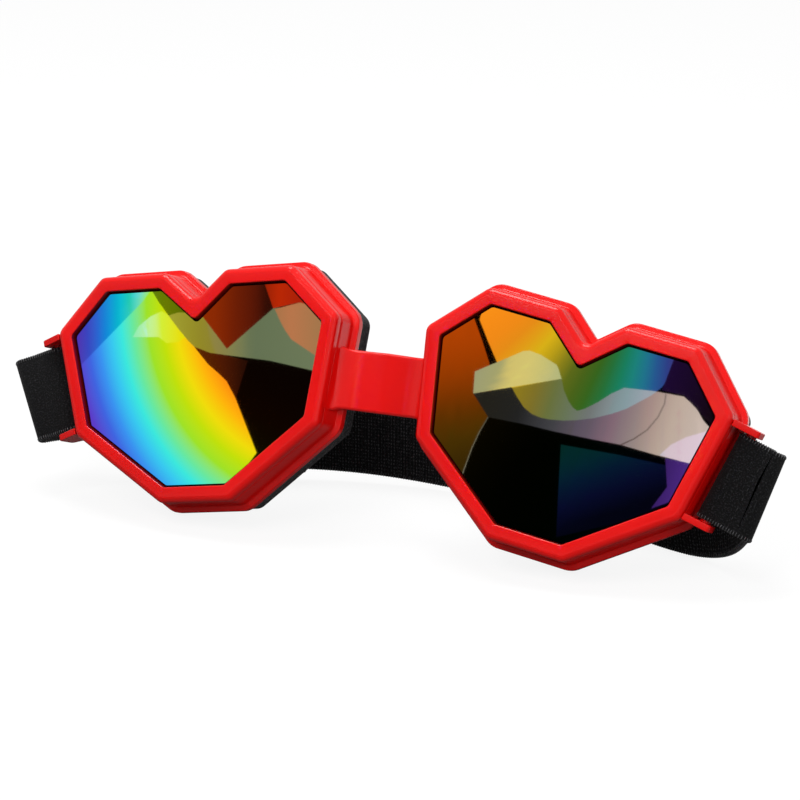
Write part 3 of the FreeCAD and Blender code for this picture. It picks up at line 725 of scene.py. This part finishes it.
card(RIGHT, PALE_BAND, [
    (-18, "#22201c"), (-10, "#222222"), (-2, "#404044"), (6, "#625664"), (10.5, "#806672"), (17.5, "#a48a84"),
    (23, "#bba89a"), (31, "#c6b6ac")])
TINTED_BAND = [(-13.2, 10.2)] + TONGUE + [(17.2, 18.3), (18.0, 18.4)] + list(reversed(SILL))
card(RIGHT, TINTED_BAND, [
    (-12, "#8c7820"), (-8, "#7d6f28"), (-4, "#68703c"), (0, "#677456"), (5, "#6f7472"), (11, "#88969a"),
    (16, "#9aa2ac")])
ROSE_END = [(22.6, 5.5), (24.3, 8.3), (27.0, 10.8), (33, 14.6), (33, 5.6)]
card(RIGHT, ROSE_END, [(22, "#d0bcc4"), (31, "#dcc8d4")])
SEAM = [(13.6, 5.2), (16.0, 7.3), (18.2, 9.9), (19.7, 13.3), (20.2, 16.4), (19.9, 18.5)]
card(RIGHT, stripe(SEAM, (0.36, -0.08)), [(13, "#4c3c3e"), (21, "#8c7c74")])
AMBER_RIM = [(-16.6, 2.6), (-17.5, -1.0), (-18.1, -4.8), (-18.5, -11.9)]
card(RIGHT, stripe(AMBER_RIM, (0.2, 0.0)), [(-19, "#7c7868"), (-16, "#48463c")])
CREAM_TIP = [(-21.3, 6.6), (-22.4, 11.3), (-19.9, 13.3), (-17.8, 14.9), (-15.0, 17.0), (-13.2, 18.6),
             (-11.8, 19.1), (-9.1, 18.9), (-5.1, 17.8), (-4.5, 17.2), (-3.1, 15.2)]
card(RIGHT, CREAM_TIP, [
    (-22, "#9c9c78"), (-17, "#a4a270"), (-15.5, "#d0bf72"), (-11, "#d4c476"), (-3, "#aeb47c")])
TEAL_PANE = [(1, 1.5), (14, 3), (27, 4), (29, -3), (20, -10), (6, -18), (3.4, -8)]
card(RIGHT, TEAL_PANE, [
    (2, "#042826"), (5, "#04242c"), (8, "#05182e"), (12, "#070b28"), (17, "#030410")], (0.6, -0.8))
VIOLET_TOP = [(19.8, 25.2), (19.7, 22.2), (19.0, 19.0), (24.0, 19.2), (33, 14), (36, 20), (26, 31),
              (19.8, 30)]
card(RIGHT, VIOLET_TOP, [(19, "#1c0a30"), (31, "#130810")])
VIOLET_END = [(24.0, 5.3), (31, 5.8), (29, -2.5), (24.2, -6.0), (26.2, -0.6)]
card(RIGHT, VIOLET_END, [(20, "#200e3c"), (29, "#48287c")])
print("studio cards:", len(cards))

# %% [markdown]
# The foam pads are die-cut rings of foam with a brushed cloth face. To the eye that is a dull dark grey
# with a fine fleck and no highlight. A cut ring is never quite square: its edges are soft and its sides
# pull in a little half way up. A subdivided block would lose the flat back, so the section is swept like
# the others, with many points along the sides so that a slow noise can move the surface by a tenth of a
# millimetre.

# %% Face foam
PORES, FIBRES = 2.6, 1.8  # to the millimetre: one pore in 0.38 mm and one tuft of fibres in 0.56 mm
face_foam, tree = new_material("dark_grey_face_foam")
place = add(tree, "ShaderNodeTexCoord")
fleck = add(tree, "ShaderNodeTexVoronoi", {"Vector": place.outputs["Object"], "Scale": PORES / MM})
fibre = add(tree, "ShaderNodeTexNoise", {
    "Vector": place.outputs["Object"], "Scale": FIBRES / MM, "Detail": 3.0})
grey = add(tree, "ShaderNodeValToRGB", {"Fac": fibre.outputs["Fac"]}, [
    (0.36, "#101011"), (0.56, "#202022"), (0.76, "#5c5c60")])
pitted = add(tree, "ShaderNodeBump", {"Height": fleck, "Strength": 0.5, "Distance": 0.3 * MM})
soft = add(tree, "ShaderNodeBsdfPrincipled", {
    "Base Color": grey, "Roughness": 0.95, "Specular IOR Level": 0.15, "Sheen Weight": 0.08,
    "Normal": pitted})
add(tree, "ShaderNodeOutputMaterial", {"Surface": soft})
FOAM = [(0.95, 11.0), (0.72, 14.1), (0.95, 17.2), (-4.25, 17.2), (-4.0, 14.1), (-4.25, 11.0)]
FOAM_ROUNDS = [0.25, 6.0, 1.1, 1.1, 6.0, 0.25]
FOAM_RADII = {"corner": 2.6, "notch": 1.8, "opening": (1.3, 2.0), "fade": (1.0, 2.0), "follow": 0.5}
FOAM_CREASE, FOAM_SHAKE, FOAM_WAVE, FOAM_SPREAD, FOAM_APART = 60.0, 0.12, 0.12, 0.01, 40.0
GLUED, GLUED_SHARE = 12.0, 0.3  # up to this depth the tape holds the foam, and it moves less


def uneven(point, side):
    """A point of the foam moved by a slow noise that differs on each side."""
    x, y, z = point
    shake = noise.noise(Vector(point) * FOAM_WAVE + Vector((side * FOAM_APART, 0, 0))) * FOAM_SHAKE
    shake *= 1.0 if y > GLUED else GLUED_SHARE
    return (x * (1 + shake * FOAM_SPREAD), y - abs(shake), z * (1 + shake * FOAM_SPREAD))


points, faces = swept_heart(ring_section(FOAM, FOAM_ROUNDS, 4, FOAM_RADII), 10)
for side, name in SIDES.items():
    moved = [uneven(p, side) for p in points]
    foam = new_piece(name + "_foam_pad", at(heart_place(side), moved), faces, face_foam, FOAM_CREASE)
    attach(foam, "goggles")
    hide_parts(name + "_foam")
    print(foam.name, len(foam.data.polygons), "faces")

# %% [markdown]
# Three finishes here are a plain dark surface with a fine speckle: cut tape, twisted yarn and satin
# plastic. Each differs in the size of its speckle, its two tones and its shine, so one function makes all
# three, with a bump where the speckle can be felt. A thin black double-sided tape holds each foam to its
# flange. Only its cut edge shows, dull and slightly smeared, so the CAD ring is kept and gets that
# finish.


# %% Foam tape
def speckled(name, to_the_mm, dark, light, shine, bump=0.0):
    """A dark material with two tones in a fine noise; shine holds the shader's plain values."""
    material, tree = new_material(name)
    place = add(tree, "ShaderNodeTexCoord")
    speckle = add(tree, "ShaderNodeTexNoise", {
        "Vector": place.outputs["Object"], "Scale": to_the_mm / MM, "Detail": 2.0})
    tones = add(tree, "ShaderNodeValToRGB", {"Fac": speckle.outputs["Fac"]}, [(0.3, dark), (0.7, light)])
    surface = add(tree, "ShaderNodeBsdfPrincipled", {"Base Color": tones, **shine})
    if bump:
        felt = add(tree, "ShaderNodeBump", {
            "Height": speckle.outputs["Fac"], "Strength": bump, "Distance": 0.2 * MM})
        tree.links.new(felt.outputs["Normal"], surface.inputs["Normal"])
    add(tree, "ShaderNodeOutputMaterial", {"Surface": surface})
    return material


SMEARS = 0.9  # to the millimetre: one smear in 1.1 mm
foam_tape = speckled("black_foam_tape", SMEARS, "#121213", "#242426", {"Roughness": 0.6})
for name in SIDES.values():
    tape = frame["nodes"][name + "_foam_tape"]
    tape.data.materials.clear()
    tape.data.materials.append(foam_tape)
print("tapes get", foam_tape.name)

# %% [markdown]
# The strap is 20 mm woven elastic. It turns round a bar at each side, folds back and runs behind the
# cups. A curve with a bevel would twist where the strap folds, so the path is a row of cross-sections: a
# middle point, the direction across the strap, and the direction towards the wearer's side. The same
# route as in the CAD source is worked out here, only finer.

# %% Strap path
STRAP_WIDTH, STRAP_THICK = 20.0, 1.1
LAYER = STRAP_THICK + 0.15
BOW_RADIUS, BOW_ANGLE, STRAP_REACH = 105.0, math.radians(20.0), 42.0
STRAP_RUN, LEFT_LIFT = 22.0, 2.7
FLOOR_SHIFT = Vector((0, STAND[1], 0))
UP = Vector((0, 0, 1))


def eased(t):
    """From 0 to 1 with a slow start and a slow end."""
    return t * t * (3 - 2 * t)


def bow_section(angle):
    """A section of the wide bow behind the cups, which lifts a little towards the left."""
    centre = STRAP_REACH - BOW_RADIUS
    height = STRAP_WIDTH / 2 + LEFT_LIFT * eased((BOW_ANGLE - angle) / (2 * BOW_ANGLE))
    spot = Vector((BOW_RADIUS * math.sin(angle), centre + BOW_RADIUS * math.cos(angle), height)) + FLOOR_SHIFT
    return (spot, UP, Vector((-math.sin(angle), -math.cos(angle), 0)))


def bar_frame(side):
    """Middle of a strap bar, and the directions out, back and along the bar."""
    place = lug_place(side)
    bar = place @ Vector((BAR_REACH, BAR_DEPTH, 0))
    return [bar] + [place.to_3x3() @ Vector(axis) for axis in ((1, 0, 0), (0, 1, 0), (0, 0, 1))]


print("bow ends at", [round(c, 1) for c in bow_section(BOW_ANGLE)[0]])

# %% [markdown]
# Near a lug the strap does two things. It turns round the bar, which is an arc with a straight piece at
# each end, and then it folds back and twists upright until it meets the bow. The fold is an arc, and the
# twist follows a Bezier curve whose handles point along both ends, because that gives the even sweep of a
# springy band.

# %% Loop and fold
LOOP_TAIL, BAR_GAP, LOOP_STEPS = 6.0, 0.08, 24
EASE_AT, EASE_RISE = 0.75, 0.3
FOLD_RADIUS, FOLD_ANGLE, FOLD_LEAD, FOLD_STEPS = 2.6, 112.0, 0.3, 14
FOLD_REACH = {LEFT: 2.2, RIGHT: 0.0}
FOLD_SLANT = {LEFT: 0.13, RIGHT: -0.1}
FOLD_LIFT = {LEFT: 3.0, RIGHT: -2.5}
FOLD_HANDLE, RUN_HANDLE, TWIST_STEPS, LIFT_POWER = 15.0, 12.0, 40, 1.4


def fold_path(side):
    """From the end of the loop's front layer, folded back and twisted upright, to the straight run."""
    bar, away, back, along = bar_frame(side)
    across = (along + away * FOLD_SLANT[side]).normalized()
    start = bar + away * (LOOP_TAIL + FOLD_REACH[side]) - back * (LAYER / 2)
    sections = []
    for i in range(FOLD_STEPS + 1):
        angle = math.radians(FOLD_ANGLE) * i / FOLD_STEPS
        heading = away * math.cos(angle) + back * math.sin(angle)
        spot = start + away * (FOLD_LEAD + FOLD_RADIUS * math.sin(angle))
        spot = spot + back * (FOLD_RADIUS * (1 - math.cos(angle)))
        sections.append((spot, across, back * math.cos(angle) - away * math.sin(angle)))
    run = Vector((side * math.cos(BOW_ANGLE), -math.sin(BOW_ANGLE), 0))
    end = bow_section(side * BOW_ANGLE)[0] + run * STRAP_RUN
    a, b, c, d = spot, spot + heading * FOLD_HANDLE, end + run * RUN_HANDLE, end
    for i in range(1, TWIST_STEPS + 1):
        t = i / TWIST_STEPS
        s = 1 - t
        spot = a * s ** 3 + b * (3 * s * s * t) + c * (3 * s * t * t) + d * t ** 3
        heading = ((b - a) * (s * s) + (c - b) * (2 * s * t) + (d - c) * (t * t)).normalized()
        spot = spot + UP * (FOLD_LIFT[side] * math.sin(math.pi * t) ** LIFT_POWER)
        upright = across * (1 - eased(t)) + UP * eased(t)
        upright = (upright - heading * upright.dot(heading)).normalized()
        sections.append((spot, upright, upright.cross(heading) * side))
    return sections


def loop_path(side):
    """Round the bar: from the end of the rear layer, round, to the end of the front layer."""
    bar, away, back, along = bar_frame(side)
    radius, tip = BAR_RADIUS + BAR_GAP + STRAP_THICK / 2, LAYER / 2
    touch = math.atan2(tip, LOOP_TAIL) + math.acos(radius / math.hypot(LOOP_TAIL, tip))
    rise = (radius * math.sin(touch) - tip) * EASE_RISE
    flat = [(LOOP_TAIL, tip, touch), (LOOP_TAIL * EASE_AT, tip + rise, touch)]
    for i in range(LOOP_STEPS + 1):
        angle = touch + (math.tau - 2 * touch) * i / LOOP_STEPS
        flat.append((radius * math.cos(angle), radius * math.sin(angle), angle))
    flat += [(x, -y, math.tau - a) for x, y, a in reversed(flat[:2])]
    sections = []
    for x, y, angle in flat:
        outward = away * math.cos(angle) + back * math.sin(angle)
        sections.append((bar + away * x + back * y, along, -outward))
    return sections


print("loop has", len(loop_path(RIGHT)), "sections, fold has", len(fold_path(RIGHT)))

# %% [markdown]
# Woven elastic has fine ribs across it, where the covered rubber cords press the weave up, and a fleck of
# light on each float of yarn. To the eye it is a deep dull black that greys where lint catches the light.
# An image could be wrapped round the strap, but a pattern stays sharp at any distance. It follows the
# strap, so it reads the strap's own UV map, whose unit is ten millimetres along and across. The ribs are
# pressed deeper on the wearer's side, which an attribute marks.

# %% Strap webbing
WEAVE_UNIT = 10.0  # millimetres to one unit of the UV map
RIBS = 3.93  # 0.8 mm apart, because a wave repeats after tau / 20 of its scaled unit
FLOATS = (16.0, 12.0, 1.0)  # 0.63 x 0.83 mm each, coarser than real floats so that they show
LINT = 30.0  # 0.33 mm each, coarser than real lint so that it shows
strap_webbing, tree = new_material("black_woven_elastic")
place = add(tree, "ShaderNodeUVMap", uv_map="weave")
inner_side = add(tree, "ShaderNodeAttribute", attribute_name="wearer_side")
ribs = add(tree, "ShaderNodeTexWave", {
    "Vector": place, "Scale": RIBS, "Distortion": 0.4, "Detail": 1.0},
    wave_type="BANDS", bands_direction="X")
floats = add(tree, "ShaderNodeMapping", {"Vector": place, "Scale": FLOATS})
yarn = add(tree, "ShaderNodeTexVoronoi", {"Vector": floats, "Scale": 1.0, "Randomness": 0.3})
lint = add(tree, "ShaderNodeTexNoise", {"Vector": place, "Scale": LINT, "Detail": 3.0})
depth = add(tree, "ShaderNodeMapRange", {"Value": inner_side.outputs["Fac"], "To Min": 0.08, "To Max": 0.8})
pressed = add(tree, "ShaderNodeMath", {0: ribs.outputs["Fac"], 1: depth}, operation="MULTIPLY")
weave = add(tree, "ShaderNodeMath", {0: yarn, 1: 0.35, 2: pressed}, operation="MULTIPLY_ADD")
fuzz = add(tree, "ShaderNodeMath", {0: pressed, 1: 0.22, 2: lint.outputs["Fac"]}, operation="MULTIPLY_ADD")
dots = add(tree, "ShaderNodeMapRange", {
    "Value": yarn, "From Min": 0.12, "From Max": 0.36, "To Min": 0.4, "To Max": 0.0})
inner_dots = add(tree, "ShaderNodeMath", {
    0: dots, 1: inner_side.outputs["Fac"], 2: fuzz}, operation="MULTIPLY_ADD")
black = add(tree, "ShaderNodeValToRGB", {"Fac": inner_dots}, [
    (0.4, "#060606"), (0.55, "#0e0e0f"), (0.74, "#2b2b2d"), (1.0, "#565658")])
raised = add(tree, "ShaderNodeBump", {"Height": weave, "Strength": 0.5, "Distance": 0.2 * MM})
cloth = add(tree, "ShaderNodeBsdfPrincipled", {
    "Base Color": black, "Roughness": 0.85, "Specular IOR Level": 0.15, "Sheen Weight": 0.04,
    "Normal": raised})
add(tree, "ShaderNodeOutputMaterial", {"Surface": cloth})
print("made", strap_webbing.name)

# %% [markdown]
# On the real goggles the strap is one length. Here it is two pieces that meet under the outer bar of the
# slide, where the joint doesn't show. The right piece is sewn to itself behind the right bar and runs all
# the way round the back. The left piece comes out of the slide, turns round the left bar, runs back
# inside itself and ends in a folded hem. First the hem is laid out: the end of the tail, turned over on
# itself.


# %% Routes of the strap
def layer_moved(sections, inset):
    """The same sections moved towards the wearer."""
    return [(spot + inward * inset, upright, inward) for spot, upright, inward in sections]


def turned_over(sections):
    """The same sections with the other face towards the wearer."""
    return [(spot, upright, -inward) for spot, upright, inward in sections]


def bow_between(start, end, count):
    """Sections along the bow from one angle to another."""
    return [bow_section(start + (end - start) * i / count) for i in range(count + 1)]


def left_run(start, end):
    """Two sections on the straight run beside the left fold, at distances from the bow's end."""
    spot, upright, inward = bow_section(-BOW_ANGLE)
    run = Vector((-math.cos(BOW_ANGLE), -math.sin(BOW_ANGLE), 0))
    return [(spot + run * d, upright, inward) for d in (start, end)]


SLIDE_BAR = STRAP_RUN / 2 + 3.9
HEM_LENGTH, HEM_PITCH, HEM_STEPS, TAIL_PAST_BOW = 6.0, STRAP_THICK + 0.02, 8, 4.0
tail_end = -BOW_ANGLE + TAIL_PAST_BOW / BOW_RADIUS
hem_start = tail_end - HEM_LENGTH / BOW_RADIUS
spot, upright, inward = bow_section(tail_end)
onward = inward.cross(upright)
hem_turn = []
for i in range(1, HEM_STEPS):
    angle = math.pi * i / HEM_STEPS
    middle = spot + inward * (LAYER + HEM_PITCH / 2 + HEM_PITCH / 2 * math.cos(angle))
    middle = middle + onward * (HEM_PITCH / 2 * math.sin(angle))
    hem_turn.append((middle, upright, inward * math.cos(angle) + onward * math.sin(angle)))
hem = turned_over(layer_moved(bow_between(hem_start, tail_end, 3), LAYER + HEM_PITCH) + hem_turn)
tail = layer_moved(bow_between(tail_end, -BOW_ANGLE, 8), LAYER)
tail += list(reversed(layer_moved(fold_path(LEFT), LAYER)))
right_route = loop_path(RIGHT) + fold_path(RIGHT) + bow_between(BOW_ANGLE, -BOW_ANGLE, 60)[1:]
left_route = hem + tail + loop_path(LEFT) + fold_path(LEFT)
routes = {
    RIGHT: right_route + left_run(SLIDE_BAR / 2, SLIDE_BAR),
    LEFT: left_route + left_run((STRAP_RUN + SLIDE_BAR) / 2, SLIDE_BAR)}
print("sections:", {SIDES[side]: len(route) for side, route in routes.items()})

# %% [markdown]
# Each strap is a rounded rectangle skinned along its route, and its place is baked into its points.

# %% Straps
STRAP_NOSE, STRAP_CREASE = 0.3, 40.0
made_for = {RIGHT: ("right_strap_loop", "strap_band"), LEFT: ("left_strap_loop", "strap_tail")}


def strap_piece(name, sections):
    """A strap skinned through its sections, with rounded edges and a UV map along and across it."""
    half, thick = STRAP_WIDTH / 2, STRAP_THICK / 2
    corners = [(-half, -thick), (half, -thick), (half, thick), (-half, thick)]
    outline = rounded(corners, [STRAP_NOSE] * 4, 3)
    along = [0.0]
    for (a, _, _), (b, _, _) in zip(sections, sections[1:]):
        along.append(along[-1] + (b - a).length)
    rings = [[tuple(p + upright * w + inward * t) for w, t in outline] for p, upright, inward in sections]
    points, faces = skinned(rings, False)
    piece = new_piece(name, points, faces, strap_webbing, STRAP_CREASE)
    size = len(outline)
    uv = piece.data.uv_layers.new(name="weave")
    for corner in piece.data.loops:
        row, k = divmod(corner.vertex_index, size)
        uv.data[corner.index].uv = (along[row] / WEAVE_UNIT, outline[k][0] / WEAVE_UNIT)
    wearer = piece.data.attributes.new("wearer_side", "FLOAT", "POINT")
    wearer.data.foreach_set("value", [1.0 if outline[i % size][1] > 0 else 0.0 for i in range(len(points))])
    return piece, along[-1]


def moves_with_loop(piece, side):
    """Bakes the piece's place into its points."""
    bar, away, back, along = bar_frame(side)
    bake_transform(piece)


for side, route in routes.items():
    strap, length = strap_piece(SIDES[side] + "_strap", route)
    moves_with_loop(strap, side)
    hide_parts(*made_for[side])
    print(strap.name, "is", round(length, 1), "mm long")

# %% [markdown]
# Both edges of the elastic are overlocked: small loops of yarn wrap the edge at a steady pitch, and the
# sewn ends have rows of stitches. To the eye the edging is a charcoal bead line and the thread is nearly
# black. Both are one small bead of yarn repeated along a line. An array along a curve wouldn't turn each
# copy to the cloth, so Geometry Nodes puts the bead on points along the line, turns it to the line and to
# the cloth, and makes the result a plain mesh.

# %% Rows of yarn
TWISTS = 2.5  # to the millimetre: one in 0.4 mm, about as wide as a strand
YARN_SHINE = {"Roughness": 0.7, "Sheen Weight": 0.1}
edging_yarn = speckled("charcoal_edging_yarn", TWISTS, "#202021", "#58585a", YARN_SHINE)
thread = speckled("black_sewing_thread", TWISTS, "#0a0a0b", "#1c1c1e", YARN_SHINE)
SIZES = ("Pitch", "Long", "Wide", "Tall")
yarn_row = bpy.data.node_groups.new("row_of_yarn", "GeometryNodeTree")
yarn_row.interface.new_socket("Line", in_out="INPUT", socket_type="NodeSocketGeometry")
for label in SIZES:
    yarn_row.interface.new_socket(label, in_out="INPUT", socket_type="NodeSocketFloat")
yarn_row.interface.new_socket("Yarn", in_out="INPUT", socket_type="NodeSocketMaterial")
yarn_row.interface.new_socket("Row", in_out="OUTPUT", socket_type="NodeSocketGeometry")
given = add(yarn_row, "NodeGroupInput")
line = add(yarn_row, "GeometryNodeMeshToCurve", {"Mesh": given.outputs["Line"]})
spots = add(yarn_row, "GeometryNodeCurveToPoints", {
    "Curve": line, "Length": given.outputs["Pitch"]}, mode="LENGTH")
cloth_side = add(yarn_row, "GeometryNodeInputNamedAttribute", {
    "Name": "cloth_side"}, data_type="FLOAT_VECTOR")
lengthwise = add(yarn_row, "FunctionNodeAlignRotationToVector", {
    "Vector": spots.outputs["Tangent"]}, axis="X")
laid = add(yarn_row, "FunctionNodeAlignRotationToVector", {
    "Rotation": lengthwise, "Vector": cloth_side.outputs["Attribute"]}, axis="Z", pivot_axis="X")
bead = add(yarn_row, "GeometryNodeMeshUVSphere", {"Segments": 8, "Rings": 5, "Radius": 0.5})
smooth = add(yarn_row, "GeometryNodeSetShadeSmooth", {"Geometry": bead})
stretch = add(yarn_row, "ShaderNodeCombineXYZ", {
    "X": given.outputs["Long"], "Y": given.outputs["Wide"], "Z": given.outputs["Tall"]})
copies = add(yarn_row, "GeometryNodeInstanceOnPoints", {
    "Points": spots, "Instance": smooth, "Rotation": laid, "Scale": stretch})
plain = add(yarn_row, "GeometryNodeRealizeInstances", {"Geometry": copies})
coloured = add(yarn_row, "GeometryNodeSetMaterial", {"Geometry": plain, "Material": given.outputs["Yarn"]})
add(yarn_row, "NodeGroupOutput", {"Row": coloured})
print("made", edging_yarn.name, "and", thread.name)

# %% [markdown]
# The lines of beads are plain edges with the direction of the cloth stored on each point. The edging runs
# along both edges of each strap and bends with it. The two seams cross the strap, one on the right loop
# and one on the hem of the tail. Stitches modelled one by one would look the same and take longer.

# %% Edging and seams
EDGE_INSET, EDGE_PITCH, EDGE_BEAD = 0.42, 0.62, (0.36, 1.3, STRAP_THICK + 0.24)
STITCH_PITCH, STITCH_BEAD, SEAM_WIDTHS = 2.1, (1.7, 0.42, 0.34), (-9.2, 0, 9.2)
LOOP_SEAM_INSET, LOOP_SEAM_RISE = 1.0, 0.1
HEM_SEAM_INSET, HEM_SEAM_RISE = 1.5, 0.02


def sewn_row(name, lines, pitch, size, yarn):
    """Beads along lines of (point, cloth side) in millimetres; size is a bead's length, width and height."""
    points = [p for one in lines for p in one]
    edges, start = [], 0
    for one in lines:
        edges += [(start + i, start + i + 1) for i in range(len(one) - 1)]
        start += len(one)
    mesh = bpy.data.meshes.new(name)
    mesh.from_pydata([tuple(p * MM) for p, _ in points], edges, [])
    facing = mesh.attributes.new("cloth_side", "FLOAT_VECTOR", "POINT")
    facing.data.foreach_set("vector", [c for _, n in points for c in n])
    row = linked(name, mesh)
    sew = row.modifiers.new("sew", "NODES")
    sew.node_group = yarn_row
    values = dict(zip(SIZES, [pitch * MM] + [s * MM for s in size]), Yarn=yarn)
    for socket in yarn_row.interface.items_tree:
        if socket.name in values:
            sew[socket.identifier] = values[socket.name]
    finished(row)
    print(row.name, len(row.data.polygons), "faces")
    return row


for side, route in routes.items():
    reach = STRAP_WIDTH / 2 - EDGE_INSET
    edges = [[(p + upright * (level * reach), inward) for p, upright, inward in route] for level in (1, -1)]
    edging = sewn_row(SIDES[side] + "_strap_edging", edges, EDGE_PITCH, EDGE_BEAD, edging_yarn)
    moves_with_loop(edging, side)
bar, away, back, along = bar_frame(RIGHT)
spot = bar + away * (LOOP_TAIL - LOOP_SEAM_INSET) - back * (LAYER / 2 + STRAP_THICK / 2 + LOOP_SEAM_RISE)
seam = [(spot + along * w, -back) for w in SEAM_WIDTHS]
loop_seam = sewn_row("right_loop_seam", [seam], STITCH_PITCH, STITCH_BEAD, thread)
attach(loop_seam, "right_loop")
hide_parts("right_loop_stitching")
hem_middle = bow_section(hem_start + HEM_SEAM_INSET / BOW_RADIUS)
spot, upright, inward = layer_moved([hem_middle], LAYER + HEM_PITCH)[0]
seam = [(spot + inward * (STRAP_THICK / 2 + HEM_SEAM_RISE) + upright * w, inward) for w in SEAM_WIDTHS]
hem_seam = sewn_row("tail_hem_seam", [seam], STITCH_PITCH, STITCH_BEAD, thread)
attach(hem_seam, "goggles")
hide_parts("tail_hem_stitching")

# %% [markdown]
# The slide adjuster is a small black moulding in satin plastic. To the eye it is black with a broad soft
# sheen and a very fine grain. Its CAD shape is right, so it isn't modelled again: a copy is merged, its
# edges are bevelled and it rides on its own body.

# %% Adjuster
GRAIN = 1.5  # to the millimetre: one in 0.67 mm, coarser than a mould's grain so that it shows
SLIDE_BEVEL, SLIDE_EDGE, SLIDE_CREASE = 0.25, 50, 35
adjuster_plastic = speckled("black_satin_plastic", GRAIN, "#161617", "#1f1f21", {"Roughness": 0.42}, 0.15)
adjuster = linked("strap_slide", frame["nodes"]["strap_adjuster"].data.copy())
shell = bmesh.new()
shell.from_mesh(adjuster.data)
bmesh.ops.remove_doubles(shell, verts=shell.verts, dist=1e-6)
bmesh.ops.dissolve_limit(shell, angle_limit=math.radians(2), verts=shell.verts, edges=shell.edges)
shell.to_mesh(adjuster.data)
shell.free()
bevelled(adjuster, SLIDE_BEVEL, SLIDE_EDGE)
adjuster.data.materials.clear()
adjuster.data.materials.append(adjuster_plastic)
adjuster.data.shade_smooth()
adjuster.data.set_sharp_from_angle(angle=math.radians(SLIDE_CREASE))
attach(adjuster, "adjuster")
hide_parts("strap_adjuster")
print(adjuster.name, len(adjuster.data.polygons), "faces")

# %% [markdown]
# The set is a pale sweep with soft light. The camera sees it white, with a faint shadow under the
# goggles. One white floor would be simpler, but it would brighten the undersides. So to other rays the
# table under the goggles is grey paper and the sweep behind it is white, as on a real product table. The
# undersides stay deep red and the tops catch a pale edge.

# %% Floor
FLOOR, TABLE_EDGE, FAR = -0.0002, 0.09, 6
TABLE_PAPER, SWEEP_PAPER, SEEN_PAPER, SEEN_GLOW = "#707070", "#f4f4f4", "#f4f4f4", 0.88


def backdrop(name, near, far, paper):
    """A stage sheet that the camera sees nearly white and other rays see as paper of a given grey."""
    material, tree = new_material(name + "_paper")
    ray = add(tree, "ShaderNodeLightPath")
    white = add(tree, "ShaderNodeEmission", {"Color": (1, 1, 1, 1), "Strength": 1.0})
    grey = add(tree, "ShaderNodeMix", {
        0: ray.outputs["Is Camera Ray"], 6: paint(paper), 7: paint(SEEN_PAPER)}, data_type="RGBA")
    chalk = add(tree, "ShaderNodeBsdfDiffuse", {"Color": grey.outputs[2]})
    share = add(tree, "ShaderNodeMath", {
        0: ray.outputs["Is Camera Ray"], 1: SEEN_GLOW}, operation="MULTIPLY")
    sheet = add(tree, "ShaderNodeMixShader", {0: share, 1: chalk, 2: white})
    add(tree, "ShaderNodeOutputMaterial", {"Surface": sheet})
    mesh = bpy.data.meshes.new(name)
    corners = [(-FAR, near, FLOOR), (FAR, near, FLOOR), (FAR, far, FLOOR), (-FAR, far, FLOOR)]
    mesh.from_pydata(corners, [], [(0, 1, 2, 3)])
    mesh.materials.append(material)
    panel = linked(name, mesh)


backdrop("studio_table", -FAR, TABLE_EDGE, TABLE_PAPER)
backdrop("studio_sweep", TABLE_EDGE, FAR, SWEEP_PAPER)
print("table ends", TABLE_EDGE, "m behind the goggles")

# %% [markdown]
# The sky is white where the camera looks past the floor and dimmer for the rays that light the part, so
# that the softboxes shape it. Three softboxes stand above, in front and to the right. Two of them stay
# out of reflections, because a lamp mirrored in the red plastic would put a pale patch where the real one
# has none.

# %% Light
GLOSSY_SKY, DIFFUSE_SKY = 0.75, 0.36
world = bpy.data.worlds.new("studio")
bpy.context.scene.world = world
world.use_nodes = True
tree = world.node_tree
tree.nodes.clear()
ray = add(tree, "ShaderNodeLightPath")
glossy = add(tree, "ShaderNodeMath", {0: ray.outputs["Is Glossy Ray"], 1: GLOSSY_SKY}, operation="MULTIPLY")
level = add(tree, "ShaderNodeMath", {0: ray.outputs["Is Camera Ray"], 1: glossy}, operation="MAXIMUM")
strength = add(tree, "ShaderNodeMath", {0: level, 1: DIFFUSE_SKY}, operation="MAXIMUM")
sky = add(tree, "ShaderNodeBackground", {"Color": (1, 1, 1, 1), "Strength": strength})
add(tree, "ShaderNodeOutputWorld", {"Surface": sky})


def softbox(name, spot, target, width, height, watts):
    """A rectangular lamp at a spot in metres, aimed at a target."""
    lamp = bpy.data.lights.new(name, "AREA")
    lamp.shape = "RECTANGLE"
    lamp.size, lamp.size_y, lamp.energy = width, height, watts
    box = linked(name, lamp)
    turn = (Vector(target) - Vector(spot)).to_track_quat("-Z", "Y").to_matrix().to_4x4()
    box.matrix_world = Matrix.Translation(spot) @ turn
    return box


softbox("top_softbox", (-0.15, 0.1, 0.9), (0, 0, 0.03), 0.5, 0.4, 6.0)
softbox("front_softbox", (-0.15, -0.95, 0.95), (0, 0, 0.03), 0.6, 0.6, 10.5).visible_glossy = False
softbox("side_softbox", (0.8, -0.45, 0.45), (0.04, 0, 0.03), 0.5, 0.5, 3.5).visible_glossy = False
